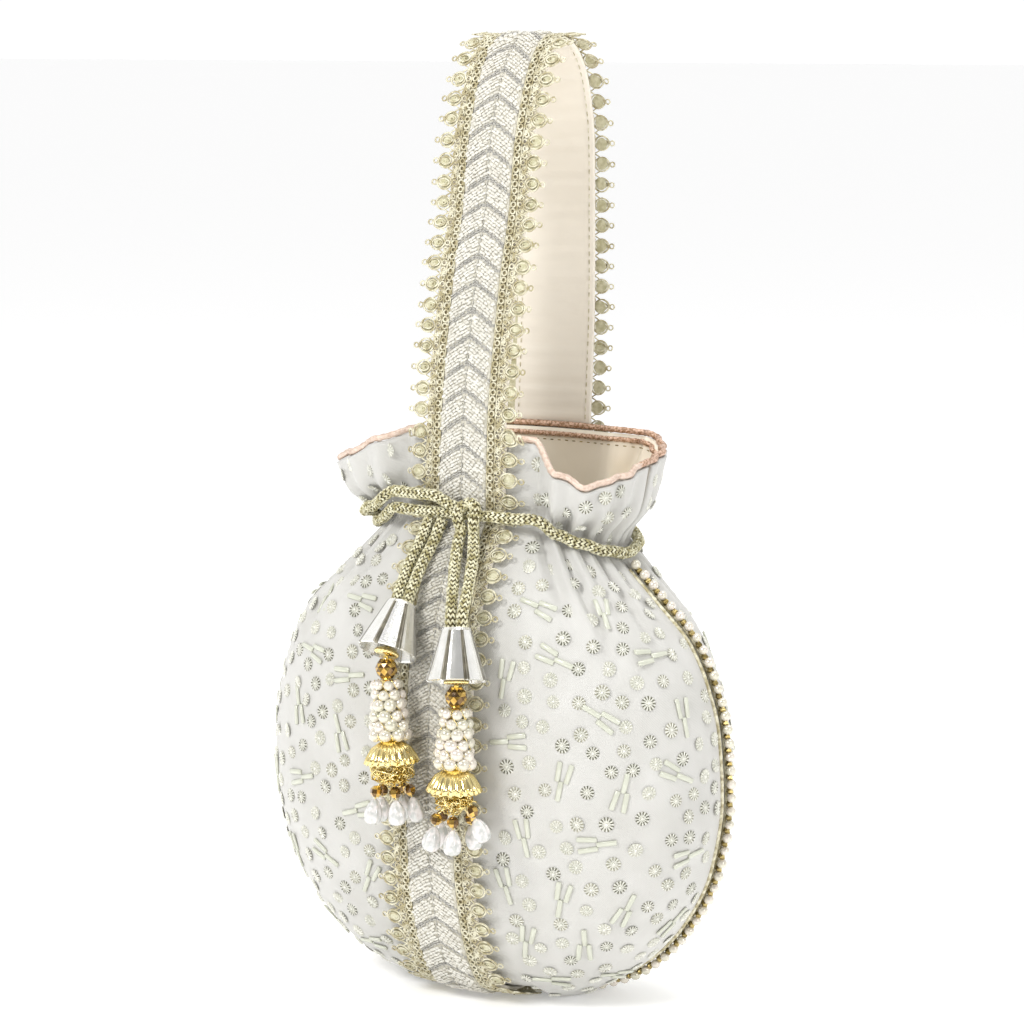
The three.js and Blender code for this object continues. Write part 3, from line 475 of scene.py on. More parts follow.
# %% Weave group: threads that cross over and under
weave, start, end = new_group(
    "Thread weave", [("Vector", "Vector", None), ("Threads", "Float", 1200.0), ("Slub", "Float", 0.3)],
    [("Height", "Float"), ("Shade", "Float")],
)
scaled = weave.nodes.new("ShaderNodeVectorMath")
scaled.operation = "SCALE"
weave.links.new(start.outputs["Vector"], scaled.inputs[0])
weave.links.new(start.outputs["Threads"], scaled.inputs["Scale"])
split = weave.nodes.new("ShaderNodeSeparateXYZ")
weave.links.new(scaled.outputs[0], split.inputs[0])
warp = math_node(weave, "SINE", math_node(weave, "MULTIPLY", split.outputs["X"], math.pi))
weft = math_node(weave, "SINE", math_node(weave, "MULTIPLY", split.outputs["Y"], math.pi))
crossing = math_node(weave, "MULTIPLY", warp, weft)
slub = weave.nodes.new("ShaderNodeTexNoise")
slub.inputs["Scale"].default_value = 0.11
slub.inputs["Detail"].default_value = 3
weave.links.new(scaled.outputs[0], slub.inputs["Vector"])
uneven = math_node(weave, "MULTIPLY", slub.outputs["Fac"], start.outputs["Slub"])
height = math_node(weave, "ADD", math_node(weave, "MULTIPLY", crossing, 0.5), uneven)
weave.links.new(height, end.inputs["Height"])
weave.links.new(slub.outputs["Fac"], end.inputs["Shade"])
print("group", weave.name)

# %% Drift group: two colours that mix in soft patches
drift, start, end = new_group(
    "Colour drift",
    [("Vector", "Vector", None), ("Scale", "Float", 60.0), ("Colour A", "Color", (1, 1, 1, 1)),
     ("Colour B", "Color", (0.8, 0.8, 0.8, 1)), ("Contrast", "Float", 1.0)],
    [("Colour", "Color"), ("Mask", "Float")],
)
cloud = drift.nodes.new("ShaderNodeTexNoise")
cloud.inputs["Detail"].default_value = 5
drift.links.new(start.outputs["Vector"], cloud.inputs["Vector"])
drift.links.new(start.outputs["Scale"], cloud.inputs["Scale"])
centred = math_node(drift, "SUBTRACT", cloud.outputs["Fac"], 0.5)
spread = math_node(drift, "MULTIPLY", centred, start.outputs["Contrast"])
mask = math_node(drift, "ADD", math_node(drift, "MULTIPLY", spread, 2.5), 0.5)
mixer = drift.nodes.new("ShaderNodeMix")
mixer.data_type = "RGBA"
mixer.clamp_factor = True
drift.links.new(mask, mixer.inputs[0])
drift.links.new(start.outputs["Colour A"], mixer.inputs[6])
drift.links.new(start.outputs["Colour B"], mixer.inputs[7])
drift.links.new(mixer.outputs[2], end.inputs["Colour"])
drift.links.new(mask, end.inputs["Mask"])
print("group", drift.name)

# %% Handling group: patches that hands have polished
handled, start, end = new_group(
    "Handled surface",
    [("Vector", "Vector", None), ("Scale", "Float", 90.0), ("Dull", "Float", 0.5),
     ("Polished", "Float", 0.3)],
    [("Roughness", "Float")],
)
patches = handled.nodes.new("ShaderNodeTexNoise")
patches.inputs["Detail"].default_value = 4
handled.links.new(start.outputs["Vector"], patches.inputs["Vector"])
handled.links.new(start.outputs["Scale"], patches.inputs["Scale"])
span = math_node(handled, "SUBTRACT", start.outputs["Dull"], start.outputs["Polished"])
rough = math_node(handled, "ADD", start.outputs["Polished"],
                  math_node(handled, "MULTIPLY", patches.outputs["Fac"], span))
handled.links.new(rough, end.inputs["Roughness"])
print("group", handled.name)


# %% [markdown]
# ## Finishes
# A finish is a material with its own Principled shader. What is the same all over, such as metal or
# sheen, is set on the shader. What varies comes from the groups: colour, roughness, and the relief
# that a Bump node turns into light and shade.

# %% One function that lays out a finish
def finish(name, colour, second, drift_scale, rough, metal=0.0, sheen=0.0, coat=0.0, bump=0.0,
           threads=None, grain_scale=None, uses_uv=False, contrast=1.0, relief=0.0003):
    """A material whose colour drifts from colour to second, with a weave or a fine grain."""
    material = bpy.data.materials.new(name)
    material.use_nodes = True
    tree = material.node_tree
    shader = tree.nodes["Principled BSDF"]
    shader.inputs["Metallic"].default_value = metal
    shader.inputs["Sheen Weight"].default_value = sheen
    shader.inputs["Coat Weight"].default_value = coat
    shader.inputs["Coat Roughness"].default_value = 0.12
    where = tree.nodes.new("ShaderNodeTexCoord")
    vector = where.outputs["UV" if uses_uv else "Object"]
    tint = tree.nodes.new("ShaderNodeGroup")
    tint.node_tree = drift
    tree.links.new(where.outputs["Object"], tint.inputs["Vector"])
    tint.inputs["Scale"].default_value = drift_scale
    tint.inputs["Colour A"].default_value = (*colour, 1)
    tint.inputs["Colour B"].default_value = (*second, 1)
    tint.inputs["Contrast"].default_value = contrast
    tree.links.new(tint.outputs["Colour"], shader.inputs["Base Color"])
    wear = tree.nodes.new("ShaderNodeGroup")
    wear.node_tree = handled
    tree.links.new(where.outputs["Object"], wear.inputs["Vector"])
    wear.inputs["Dull"].default_value, wear.inputs["Polished"].default_value = rough
    tree.links.new(wear.outputs["Roughness"], shader.inputs["Roughness"])
    height = None
    if threads:
        cloth = tree.nodes.new("ShaderNodeGroup")
        cloth.node_tree = weave
        tree.links.new(vector, cloth.inputs["Vector"])
        cloth.inputs["Threads"].default_value = threads
        height = cloth.outputs["Height"]
    elif grain_scale:
        fine = tree.nodes.new("ShaderNodeTexNoise")
        fine.inputs["Scale"].default_value = grain_scale
        fine.inputs["Detail"].default_value = 4
        tree.links.new(where.outputs["Object"], fine.inputs["Vector"])
        height = fine.outputs["Fac"]
    if height is not None:
        bumped = tree.nodes.new("ShaderNodeBump")
        bumped.inputs["Strength"].default_value = bump
        bumped.inputs["Distance"].default_value = relief
        tree.links.new(height, bumped.inputs["Height"])
        tree.links.new(bumped.outputs["Normal"], shader.inputs["Normal"])
    return material


# %% Cloth finishes
ivory_silk = finish("Ivory silk", (0.615, 0.605, 0.575), (0.54, 0.53, 0.495), 45, (0.6, 0.48), sheen=0.2,
                    bump=0.45, threads=2.2, uses_uv=True, relief=0.00016)
mouth_satin = finish("Mouth satin", (0.94, 0.86, 0.72), (0.88, 0.80, 0.66), 40, (0.46, 0.3), sheen=0.2,
                     bump=0.2, threads=3.2, uses_uv=True, relief=0.0001)
strap_satin = finish("Strap satin", (0.90, 0.84, 0.74), (0.82, 0.76, 0.66), 30, (0.5, 0.34), sheen=0.2,
                     bump=0.25, threads=3.0, uses_uv=True, relief=0.0001)
# The copper piping's pale flecks are painted glints over its own dark copper colour.
copper_cloth_and_glints = finish("Copper piping with painted glints", (0.36, 0.2, 0.11), (0.78, 0.55, 0.42), 1100, (0.45, 0.22),
                      metal=0.6, bump=0.9, grain_scale=2600, contrast=2.2)
rose_cloth = finish("Rose piping", (0.62, 0.46, 0.36), (0.76, 0.62, 0.52), 700, (0.5, 0.3), metal=0.25,
                    bump=0.6, grain_scale=2600, contrast=1.6)
print("cloth finishes ready")

# %% Thread finishes
cream_yarn = finish("Cream yarn", (0.80, 0.78, 0.71), (0.68, 0.65, 0.57), 420, (0.9, 0.75), sheen=0.3,
                    bump=0.6, grain_scale=3800, contrast=1.5)
# The cream ground is a darker copy of the cream yarn: painted shade for the gaps between the stitches.
cream_yarn_shade = finish("Cream yarn, painted shade", (0.70, 0.67, 0.58), (0.58, 0.55, 0.46), 500, (0.95, 0.85), bump=0.6,
                      grain_scale=3000, contrast=1.5)
grey_yarn = finish("Grey yarn", (0.42, 0.41, 0.38), (0.60, 0.58, 0.53), 500, (0.85, 0.7), sheen=0.2,
                   bump=0.5, grain_scale=3800)
# The grey ground is a darker copy of the grey yarn, painted shade in the same way.
grey_yarn_shade = finish("Grey yarn, painted shade", (0.36, 0.35, 0.32), (0.48, 0.46, 0.42), 500, (0.95, 0.85), bump=0.5,
                     grain_scale=3000)
lace_thread = finish("Lace thread", (0.44, 0.38, 0.21), (0.80, 0.76, 0.58), 420, (0.55, 0.35), metal=0.2,
                     sheen=0.2, bump=0.7, grain_scale=4200, contrast=2.0)
lace_leaf = finish("Lace leaf", (0.50, 0.47, 0.28), (0.68, 0.65, 0.47), 500, (0.6, 0.4), metal=0.1,
                   sheen=0.2, bump=0.9, grain_scale=3600, contrast=1.6)
# Lace painted shade: a dark olive for the shadow seen through the lace's openings.
lace_painted_shade = finish("Lace painted shade", (0.20, 0.16, 0.08), (0.32, 0.27, 0.15), 400, (0.8, 0.6), bump=0.6,
                     grain_scale=3000)
# The cord yarn drifts between its own olive and a very pale cream; the pale patches also stand for painted
# highlights on the stitches.
cord_yarn_and_highlights = finish("Cord yarn with painted highlights", (0.42, 0.37, 0.17), (0.90, 0.87, 0.64), 520, (0.5, 0.28), metal=0.3,
                   sheen=0.2, bump=0.6, grain_scale=4200, contrast=2.2)
# The cord core is near black as painted shade, for the shadow between the knitted stitches.
cord_shade_core = finish("Cord core, painted shade", (0.10, 0.08, 0.03), (0.16, 0.13, 0.06), 200, (0.9, 0.8), bump=0.3,
                   grain_scale=3000)
print("thread finishes ready")

# %% Pearl, metal and glass finishes
pearl = finish("Pearl", (0.66, 0.63, 0.50), (0.78, 0.71, 0.63), 160, (0.2, 0.1), metal=0.3, coat=1.0,
               sheen=0.1,
               bump=0.03, grain_scale=900, contrast=1.6)
drop_pearl = finish("Drop pearl", (0.56, 0.57, 0.54), (0.80, 0.76, 0.74), 420, (0.16, 0.06), coat=1.0,
                    bump=0.25, grain_scale=420, contrast=2.2)
petal_foil = finish("Petal foil", (0.72, 0.72, 0.64), (0.84, 0.83, 0.76), 300, (0.4, 0.25), metal=0.05,
                    bump=0.2, grain_scale=2500)
# The three slot finishes are painted shade: dark, middle and pale colour on the foil between a sequin's
# rays, where the grooves hold shadow.
slot_shade_dark = finish("Slot painted shade, dark", (0.08, 0.08, 0.05), (0.16, 0.15, 0.10), 300, (0.5, 0.3), metal=0.3, bump=0.2,
                   grain_scale=2500)
slot_shade_middle = finish("Slot painted shade, middle", (0.28, 0.27, 0.19), (0.38, 0.36, 0.28), 300, (0.5, 0.3), metal=0.3,
                     bump=0.2, grain_scale=2500)
slot_shade_pale = finish("Slot painted shade, pale", (0.52, 0.52, 0.42), (0.6, 0.59, 0.5), 300, (0.5, 0.3), metal=0.2, bump=0.2,
                   grain_scale=2500)
bugle_glass = finish("Bugle glass", (0.62, 0.63, 0.53), (0.56, 0.57, 0.47), 150, (0.3, 0.16), coat=0.4,
                     bump=0.05, grain_scale=900)
silver = finish("Silver", (0.93, 0.92, 0.89), (0.84, 0.83, 0.78), 160, (0.3, 0.14), metal=0.85, coat=0.3,
                bump=0.12,
                grain_scale=1400)
# The groove finish is a darker, browner silver than the panels.
groove_silver = finish("Groove silver", (0.34, 0.32, 0.26), (0.58, 0.55, 0.47), 300, (0.45, 0.25), metal=0.8,
                     bump=0.3,
                     grain_scale=1800)
gold = finish("Gold", (0.88, 0.68, 0.25), (0.97, 0.84, 0.46), 160, (0.26, 0.12), metal=1.0, bump=0.1,
              grain_scale=1600)
old_gold = finish("Old gold", (0.24, 0.18, 0.06), (0.5, 0.4, 0.17), 260, (0.4, 0.2), metal=0.9, bump=0.2,
                  grain_scale=1600, contrast=1.6)
amber = finish("Amber glass", (0.52, 0.30, 0.05), (0.80, 0.54, 0.14), 300, (0.1, 0.04), metal=0.85, coat=0.6,
               bump=0.02, grain_scale=900, contrast=1.6)
# Dark amber is painted shade and reflection: a darker copy of the amber glass that random facets take.
amber_facet_shade = finish("Amber glass, painted facet shade", (0.10, 0.05, 0.01), (0.24, 0.13, 0.03), 300, (0.1, 0.04), metal=0.7,
                    coat=0.8, bump=0.02, grain_scale=900, contrast=1.6)
print("hard finishes ready")

# %% [markdown]
# ## Silk panels
# The body is two round panels. A grid of points over angle and height makes each one, and a second
# grid a wall thickness further in closes it. Rows are spaced evenly along the cloth, so that the
# faces stay square where the bag narrows.

# %% Even levels up the cloth
def even_levels(angle, first, last, step):
    """Levels whose points are about step apart along the cloth at one angle."""
    fine = np.linspace(first, last, 1500)
    path = form(np.full(1500, angle), fine)[0]
    along = np.concatenate([[0], np.cumsum(np.linalg.norm(np.diff(path, axis=0), axis=1))])
    count = int(along[-1] / step) + 1
    return np.interp(np.linspace(0, along[-1], count), along, fine), along[-1]


def grid_faces(rows, columns, start=0, is_flipped=False):
    faces = []
    for i in range(rows - 1):
        for k in range(columns - 1):
            a = start + i * columns + k
            face = (a, a + 1, a + columns + 1, a + columns)
            faces.append(face[::-1] if is_flipped else face)
    return faces


def walled_grid(outer, inner, is_ring=False):
    """Closes two grids of points of the same size into one solid sheet of cloth."""
    rows, columns = outer.shape[:2]
    count = rows * columns
    points = np.concatenate([outer.reshape(-1, 3), inner.reshape(-1, 3)])
    faces = grid_faces(rows, columns, 0, True) + grid_faces(rows, columns, count)
    edge = [k for k in range(columns)]
    if not is_ring:
        edge += [(i + 1) * columns - 1 for i in range(1, rows)]
        edge += [(rows - 1) * columns + k for k in range(columns - 2, -1, -1)]
        edge += [i * columns for i in range(rows - 2, 0, -1)]
        loops = [edge + edge[:1]]
    else:
        loops = [edge, [(rows - 1) * columns + k for k in range(columns - 1, -1, -1)]]
    for loop in loops:
        faces += [(a, b, b + count, a + count) for a, b in zip(loop, loop[1:])]
    return points, faces


# %% Cut and sew the two panels
PANEL_LEVELS, _ = even_levels(math.radians(60), 0, RIM, 1.9)


def cut_size(face):
    """Widest row, longest column and area of a grid of points on cloth."""
    width = np.linalg.norm(np.diff(face, axis=1), axis=-1).sum(axis=1).max()
    rise = np.linalg.norm(np.diff(face, axis=0), axis=-1).sum(axis=0).max()
    area = np.linalg.norm(np.cross(face[1:, 1:] - face[:-1, :-1], face[1:, :-1] - face[:-1, 1:]),
                          axis=-1).sum() / 2
    return float(width), float(rise), float(area)


def panel(name, first, last, side):
    angles = np.linspace(first, last, 151)
    angle, level = np.meshgrid(angles, PANEL_LEVELS)
    outer, normal = skin(angle, level)
    inner = outer - normal * PANEL_WALL
    for face in (outer, inner):
        face[..., 1] = side * np.maximum(side * face[..., 1], GAP / 2)
    width = np.cumsum(np.linalg.norm(np.diff(outer, axis=1, prepend=outer[:, :1]), axis=-1), axis=1)
    rise = np.cumsum(np.linalg.norm(np.diff(outer, axis=0, prepend=outer[:1]), axis=-1), axis=0)
    uv = np.stack([width - width[:, 75:76], rise], axis=-1).reshape(-1, 2)
    piece = add_piece(name, walled_grid(outer, inner), [ivory_silk], [name],
                      uv=np.concatenate([uv, uv]))
    size = cut_size(outer)
    print(name, "is about", round(size[0]), "mm wide,", round(size[1]), "mm long and", round(size[2] / 100),
          "square cm")
    return piece, size


front_panel = panel("front_panel", 0, math.pi, -1)
back_panel = panel("back_panel", math.pi, 2 * math.pi, 1)

# %% [markdown]
# ## Sequins and bugle beads
# The silk carries fluted round sequins, like small daisies, and bugle beads in threes. They are
# strewn by hand, so no grid shows, yet no two touch. Throwing random places and keeping those far
# enough from all others gives the same look. The seed is fixed, so each run strews them alike.

# %% Throw places on a panel
def strewn(first, last, spacing, keep_clear, seed, seam_gap=6.5, highest=RIM, lowest=2.2, tries=9000):
    """Random places on a panel that stay apart from each other and from (place, radius) pairs."""
    rng = np.random.default_rng(seed)
    angle, share = rng.uniform(first, last, tries), rng.uniform(0.035, 0.985, tries)
    level = np.interp(share, np.linspace(0, 1, len(PANEL_LEVELS)), PANEL_LEVELS)
    place, normal = skin(angle, level)
    clear = (np.abs(place[:, 0]) > LACE_PEAK + 3.5) & (np.abs(place[:, 1]) > seam_gap) & (level < highest)
    clear &= place[:, 2] > lowest
    near_cord = np.abs(level - NECK - 0.1) < 0.55
    kept, kept_places = [], [np.array(spot, float) for spot, _ in keep_clear]
    limits = [radius for _, radius in keep_clear]
    for k in np.flatnonzero(clear & ~near_cord):
        if kept_places:
            far = np.linalg.norm(np.array(kept_places) - place[k], axis=1)
            if (far < np.array(limits)).any():
                continue
        kept.append(k)
        kept_places.append(place[k])
        limits.append(spacing)
    print(len(kept), "places")
    return angle[kept], level[kept], place[kept], normal[kept]


# %% The daisy sequin and the bugle bead
def daisy(petals=12, radius=3.0):
    """A pale foil disc with raised rays, slots between them coloured as painted shade, and a small domed
    eye.
    """
    turns = 2 * np.pi * np.arange(petals) / petals

    def polar(r, turn, aside, height):
        x = r * math.cos(turn) - aside * math.sin(turn)
        return x, r * math.sin(turn) + aside * math.cos(turn), height

    disc = turned([(radius * 0.93, 0.08), (radius * 0.5, 0.3), (0, 0.34)], petals)
    rays, ray_faces, slots, slot_faces = [], [], [], []
    for turn in turns:
        start = len(rays)
        for r, aside, height in ((0.4, 0, 0.6), (2.2, 0.3, 0.26), (radius, 0, 0.3), (2.2, -0.3, 0.26),
                                 (1.9, 0, 0.78)):
            rays.append(polar(r, turn, aside, height))
        ray_faces += [(start, start + 1, start + 4), (start + 1, start + 2, start + 4),
                      (start + 2, start + 3, start + 4), (start + 3, start, start + 4)]
        start, between = len(slots), turn + math.pi / petals
        for r, aside, height in ((1.45, -0.1, 0.44), (2.8, -0.27, 0.3), (2.8, 0.27, 0.3), (1.45, 0.1, 0.44)):
            slots.append(polar(r, between, aside, height))
        slot_faces.append((start, start + 1, start + 2, start + 3))
    eye = turned([(0.7, 0.3), (0.45, 0.8), (0, 0.9)], 6)
    return joined(disc, (rays, ray_faces), eye)[0], (np.array(slots), slot_faces)


def bugle(length=7.8, radius=1.05, sides=8):
    half = length / 2
    points, faces = turned([(0, -half), (0.7 * radius, -half), (radius, -half + 0.25), (radius, half - 0.25),
                            (0.7 * radius, half), (0, half)], sides)
    return points[:, [2, 0, 1]] * (1, 1, 0.5), faces


# %% Sew them on
def embroider(name, first, last, seed):
    rng = np.random.default_rng(seed)
    angle, level, place, normal = strewn(first, last, 21.5, [], seed, seam_gap=16, highest=NECK - 1.3,
                                         lowest=11)
    turn = rng.choice(4, len(place)) * np.pi / 2 + rng.normal(0, 0.3, len(place))
    across, _ = skin(angle + 0.004, level)
    side = unit(across - place)
    up = np.cross(normal, side)
    rods, rod_frames = [], []
    for k in range(len(place)):
        long = math.cos(turn[k]) * side[k] + math.sin(turn[k]) * up[k]
        wide = np.cross(normal[k], long)
        for run, aside, lean in ((3.9, 2.1, 0.07), (3.9, -2.1, -0.1), (-3.6, 0.15, 0.03)):
            rods.append(place[k] + long * run + wide * aside + normal[k] * 0.35)
            rod_frames.append(frames_from(long + wide * lean, normal[k]))
    rod_shape = copies(bugle(), rods, np.array(rod_frames))
    add_piece(name + "_bugles", rod_shape, [bugle_glass])
    taken = [(spot, 5.3) for spot in rods]
    angle, level, place, normal = strewn(first, last, 8.0, taken, seed + 1)
    tilt = normal + rng.normal(0, 0.08, place.shape)
    frames = frames_from(np.cross(tilt, rng.normal(0, 1, place.shape)), tilt)
    petals, slots = daisy()
    sizes = rng.uniform(0.9, 1.06, (len(place), 1))
    # Each sequin's slots take one of the three painted shades, from dark to pale.
    shade = rng.choice(3, len(place), p=(0.34, 0.3, 0.36))
    shapes = [copies(petals, place, frames, sizes)]
    shapes += [copies(slots, place[shade == k], frames[shade == k], sizes[shade == k]) for k in range(3)]
    shape, parts = joined(*shapes)
    add_piece(name + "_sequins", shape, [petal_foil, slot_shade_dark, slot_shade_middle, slot_shade_pale],
              parts=parts, is_flat=True)


embroider("front", 0, math.pi, 11)
embroider("back", math.pi, 2 * math.pi, 29)

# %% [markdown]
# ## Mouth lining and piping
# The collar is lined with satin down to the neck, and a thin corded edge covers both layers. The
# cord under the edge's cloth twists, which shows as slanting ridges.

# %% Lining of the mouth
MOUTH_ANGLES = np.linspace(0, 2 * math.pi, 241)[:-1]
lining_levels, _ = even_levels(math.radians(30), NECK, RIM, 2.2)
ring_angles = np.append(MOUTH_ANGLES, 2 * math.pi)
angle, level = np.meshgrid(ring_angles, lining_levels)
lining_outside, normal = skin(angle, level, -(PANEL_WALL + GAP))
inside = lining_outside - normal * LINING_WALL
crease = 0.16 * np.sin(np.degrees(angle) * 0.9) * np.sin(level * 5)
inside += normal * crease[..., None]
lining_uv = np.stack([np.degrees(angle) * 1.1, level * 11], axis=-1).reshape(-1, 2)
lining = add_piece("mouth_lining", walled_grid(lining_outside, inside, is_ring=True), [mouth_satin],
          ["mouth_lining"], uv=np.concatenate([lining_uv, lining_uv]))


# %% Piping with its twist
def twisted(path, radius, sides, pitch, depth, is_closed=False):
    """A tube whose skin has slanting ridges, like a cord under thin cloth."""
    along, side, up = frames_along(path, is_closed)
    run = np.concatenate([[0], np.cumsum(np.linalg.norm(np.diff(path, axis=0), axis=1))])
    turn = 2 * np.pi * np.arange(sides) / sides
    ridge = 1 + depth * np.cos(3 * turn[None] + 2 * np.pi * run[:, None] / pitch)
    ring = np.cos(turn)[None, :, None] * side[:, None] + np.sin(turn)[None, :, None] * up[:, None]
    points = (path[:, None] + radius * ridge[..., None] * ring).reshape(-1, 3)
    return points, tube(path, radius, sides, is_closed)[1]


edge_middle = (PANEL_WALL + GAP + LINING_WALL) / 2
rim_line, _ = skin(MOUTH_ANGLES, np.full(240, RIM), -edge_middle)
rim_line = spaced(rim_line + (0, 0, 1.25 + GAP), 0.9, is_closed=True)
rope = twisted(rim_line, 1.25, 10, 3.6, 0.12, is_closed=True)
behind = [1 if rope[0][list(face)][:, 1].mean() > -4 else 0 for face in rope[1]]
# The part behind takes the copper with its painted glints.
add_piece("mouth_piping", rope, [rose_cloth, copper_cloth_and_glints], ["mouth_piping"], parts=behind)

# %% Second rope inside the rim, and the row of stitches under it
inner_line, _ = skin(MOUTH_ANGLES, np.full(240, RIM - 0.13), -(PANEL_WALL + GAP + LINING_WALL + 0.9))
inner_rope = twisted(spaced(inner_line, 0.9, is_closed=True), 1.0, 8, 3.0, 0.14, is_closed=True)
behind = [1 if inner_rope[0][list(face)][:, 1].mean() > -4 else 0 for face in inner_rope[1]]
add_piece("mouth_inner_rope", inner_rope, [rose_cloth, copper_cloth_and_glints], parts=behind)
stitch_line, _ = skin(MOUTH_ANGLES, np.full(240, RIM - 0.26), -(PANEL_WALL + GAP + LINING_WALL + 0.1))
stitch_places = spaced(stitch_line, 3.4, is_closed=True)
stitch_along, stitch_side, _ = frames_along(stitch_places, is_closed=True)
add_piece("mouth_stitches", copies(grain(1.7, 0.5, 0.6), stitch_places,
                                   frames_from(stitch_along, stitch_side)),
          [old_gold])

# %% [markdown]
# ## Pearls along the seam
# A string of pearls follows the side seam from the neck, under the bag and up the other side. Small
# gold beads sit between them, and a cord edge runs along the seam on each side.

# %% Route of the seam
def seam_side(angle):
    levels = np.linspace(0, NECK - 0.45, 220)
    return skin(np.full(220, angle), levels, PEARL_RADIUS + PEARL_CLEARANCE)[0]


seam_route = np.vstack([seam_side(0.0)[::-1], seam_side(math.pi)])
seam_route[:, 1] = 0
pearl_places = spaced(seam_route, 5.45)
pearl_along, _, _ = frames_along(pearl_places)
pearl_frames = frames_from(pearl_along, np.array([0, 1.0, 0]))
rng = np.random.default_rng(5)
add_piece("seam_pearls", copies(ball(14, 9, 2.0), pearl_places, pearl_frames,
                                rng.uniform(0.93, 1.05, (len(pearl_places), 1))),
          [pearl], ["seam_pearls"])
inward = np.cross(pearl_along, (0, 1.0, 0))
to_middle = (0, 0, WIDEST_HEIGHT + 4) - pearl_places
inward *= np.sign(to_middle[:, 2] * inward[:, 2] + to_middle[:, 0] * inward[:, 0])[:, None]
between = (pearl_places[1:] + pearl_places[:-1]) / 2 + inward[1:] * 0.8
bicone = turned([(0, -1.7), (1.7, 0), (0, 1.7)], 5)
add_piece("seam_gold_beads", copies(bicone, between, pearl_frames[1:]), [old_gold], is_flat=True)
print(len(pearl_places), "pearls along", round(float(np.linalg.norm(np.diff(seam_route, axis=0),
                                                                    axis=1).sum())), "mm")

# %% Narrow corded edge on each side of the seam
seam_threads = []
for side in (-1, 1):
    rows = []
    for angle in (0.0, math.pi):
        turn = angle - side * 0.019 if angle == 0 else angle + side * 0.019
        spots, normal = skin(np.full(200, turn), np.linspace(0.3, NECK - 0.45, 200), 0.3)
        rows.append(spots)
    seam_threads.append(twisted(spaced(np.vstack([rows[0][::-1], rows[1]]), 1.2), 0.85, 6, 2.2, 0.15))
add_piece("seam_edge_cords", joined(*seam_threads)[0], [lace_thread])

# %% [markdown]
# ## The strap
# One strap starts at the bottom seam, climbs the front, loops over as the handle and runs down the
# back. Everything on it is placed by two numbers: the distance along it and the distance from its
# middle. A fine grid of points, measured once, turns these numbers into a place on the bag.

# %% Side view of the handle
HANDLE_RISE = 154.5
# share of the way from the front of the rim to its back, share of the rise
HANDLE = [
    (0.004, 0.046), (0.049, 0.176), (0.153, 0.404), (0.253, 0.56), (0.308, 0.71), (0.37, 0.81),
    (0.46, 0.905), (0.57, 0.97), (0.69, 1), (0.81, 0.985), (0.92, 0.935), (0.99, 0.86),
    (1.033, 0.762), (1.043, 0.554), (1.043, 0.326), (1.022, 0.163), (1.002, 0.046),
]


def angle_at(x, level, is_front):
    """Angle at which a section passes a distance from the bag's middle."""
    _, half, _, _, sf, sb, *_ = section_at(level)
    square = sf if is_front else sb
    angle = np.arccos(np.clip(signed_power(x / half, square / 2), -1, 1))
    return angle if is_front else 2 * np.pi - angle


ACROSS = np.linspace(-28, 28, 29)


def strap_grid():
    """Points of the strap's underside, all along it and across it."""
    start = 0.9
    levels = np.concatenate([np.linspace(start, 3, 40), np.linspace(3, RIM, 260)[1:]])
    x, level = np.meshgrid(ACROSS, levels)
    front, _ = skin(angle_at(x, level, True), level)
    back, _ = skin(angle_at(x, level, False), level)
    rim_front, rim_back = front[-1, 14], back[-1, 14]
    path = [rim_front + (rim_back - rim_front) * share + (0, 0, rise * HANDLE_RISE) for share,
            rise in HANDLE]
    arch = curve_through([front[-1, 14], *path, back[-1, 14]], 14)[4:-4]
    arch = np.repeat(arch[:, None], len(ACROSS), axis=1)
    arch[..., 0] = ACROSS[None]
    return np.concatenate([front, arch, back[::-1]])


STRAP = strap_grid()
middle = STRAP[:, 14]
ALONG = np.concatenate([[0], np.cumsum(np.linalg.norm(np.diff(middle, axis=0), axis=1))])
along_dir = unit(np.gradient(STRAP, axis=0))
across_dir = unit(np.gradient(STRAP, axis=1))
STRAP_NORMAL = unit(np.cross(along_dir, across_dir) * -1)
print("strap is", round(float(ALONG[-1])), "mm long")


# %% Place things on the strap
def strap_at(along, x, over):
    """Points at a distance along the strap, a distance x from its middle and a height over the cloth."""
    along, x, over = np.broadcast_arrays(*(np.asarray(v, float) for v in (along, x, over)))
    row = np.clip(np.searchsorted(ALONG, along) - 1, 0, len(ALONG) - 2)
    t = ((along - ALONG[row]) / (ALONG[row + 1] - ALONG[row]))[..., None]
    at = np.clip((x + 28) / 2, 0, len(ACROSS) - 1.001)
    column = at.astype(int)
    u = (at - column)[..., None]

    def blend(grid):
        low = grid[row, column] * (1 - u) + grid[row, column + 1] * u
        high = grid[row + 1, column] * (1 - u) + grid[row + 1, column + 1] * u
        return low * (1 - t) + high * t
    normal = unit(blend(STRAP_NORMAL))
    return blend(STRAP) + normal * over[..., None], normal


def strap_frames(along, x, over):
    """Places on the strap and frames with X across, Y along and Z off the cloth."""
    place, normal = strap_at(along, x, over)
    ahead, _ = strap_at(np.asarray(along, float) + 0.5, x, over)
    side = np.cross(unit(ahead - place), normal)
    return place, frames_from(side, normal)


test, frames = strap_frames(np.array([300.0]), np.array([0.0]), 0.0)
print("at 300 mm:", np.round(test, 1).tolist(), "across", np.round(frames[0, 0], 2).tolist())

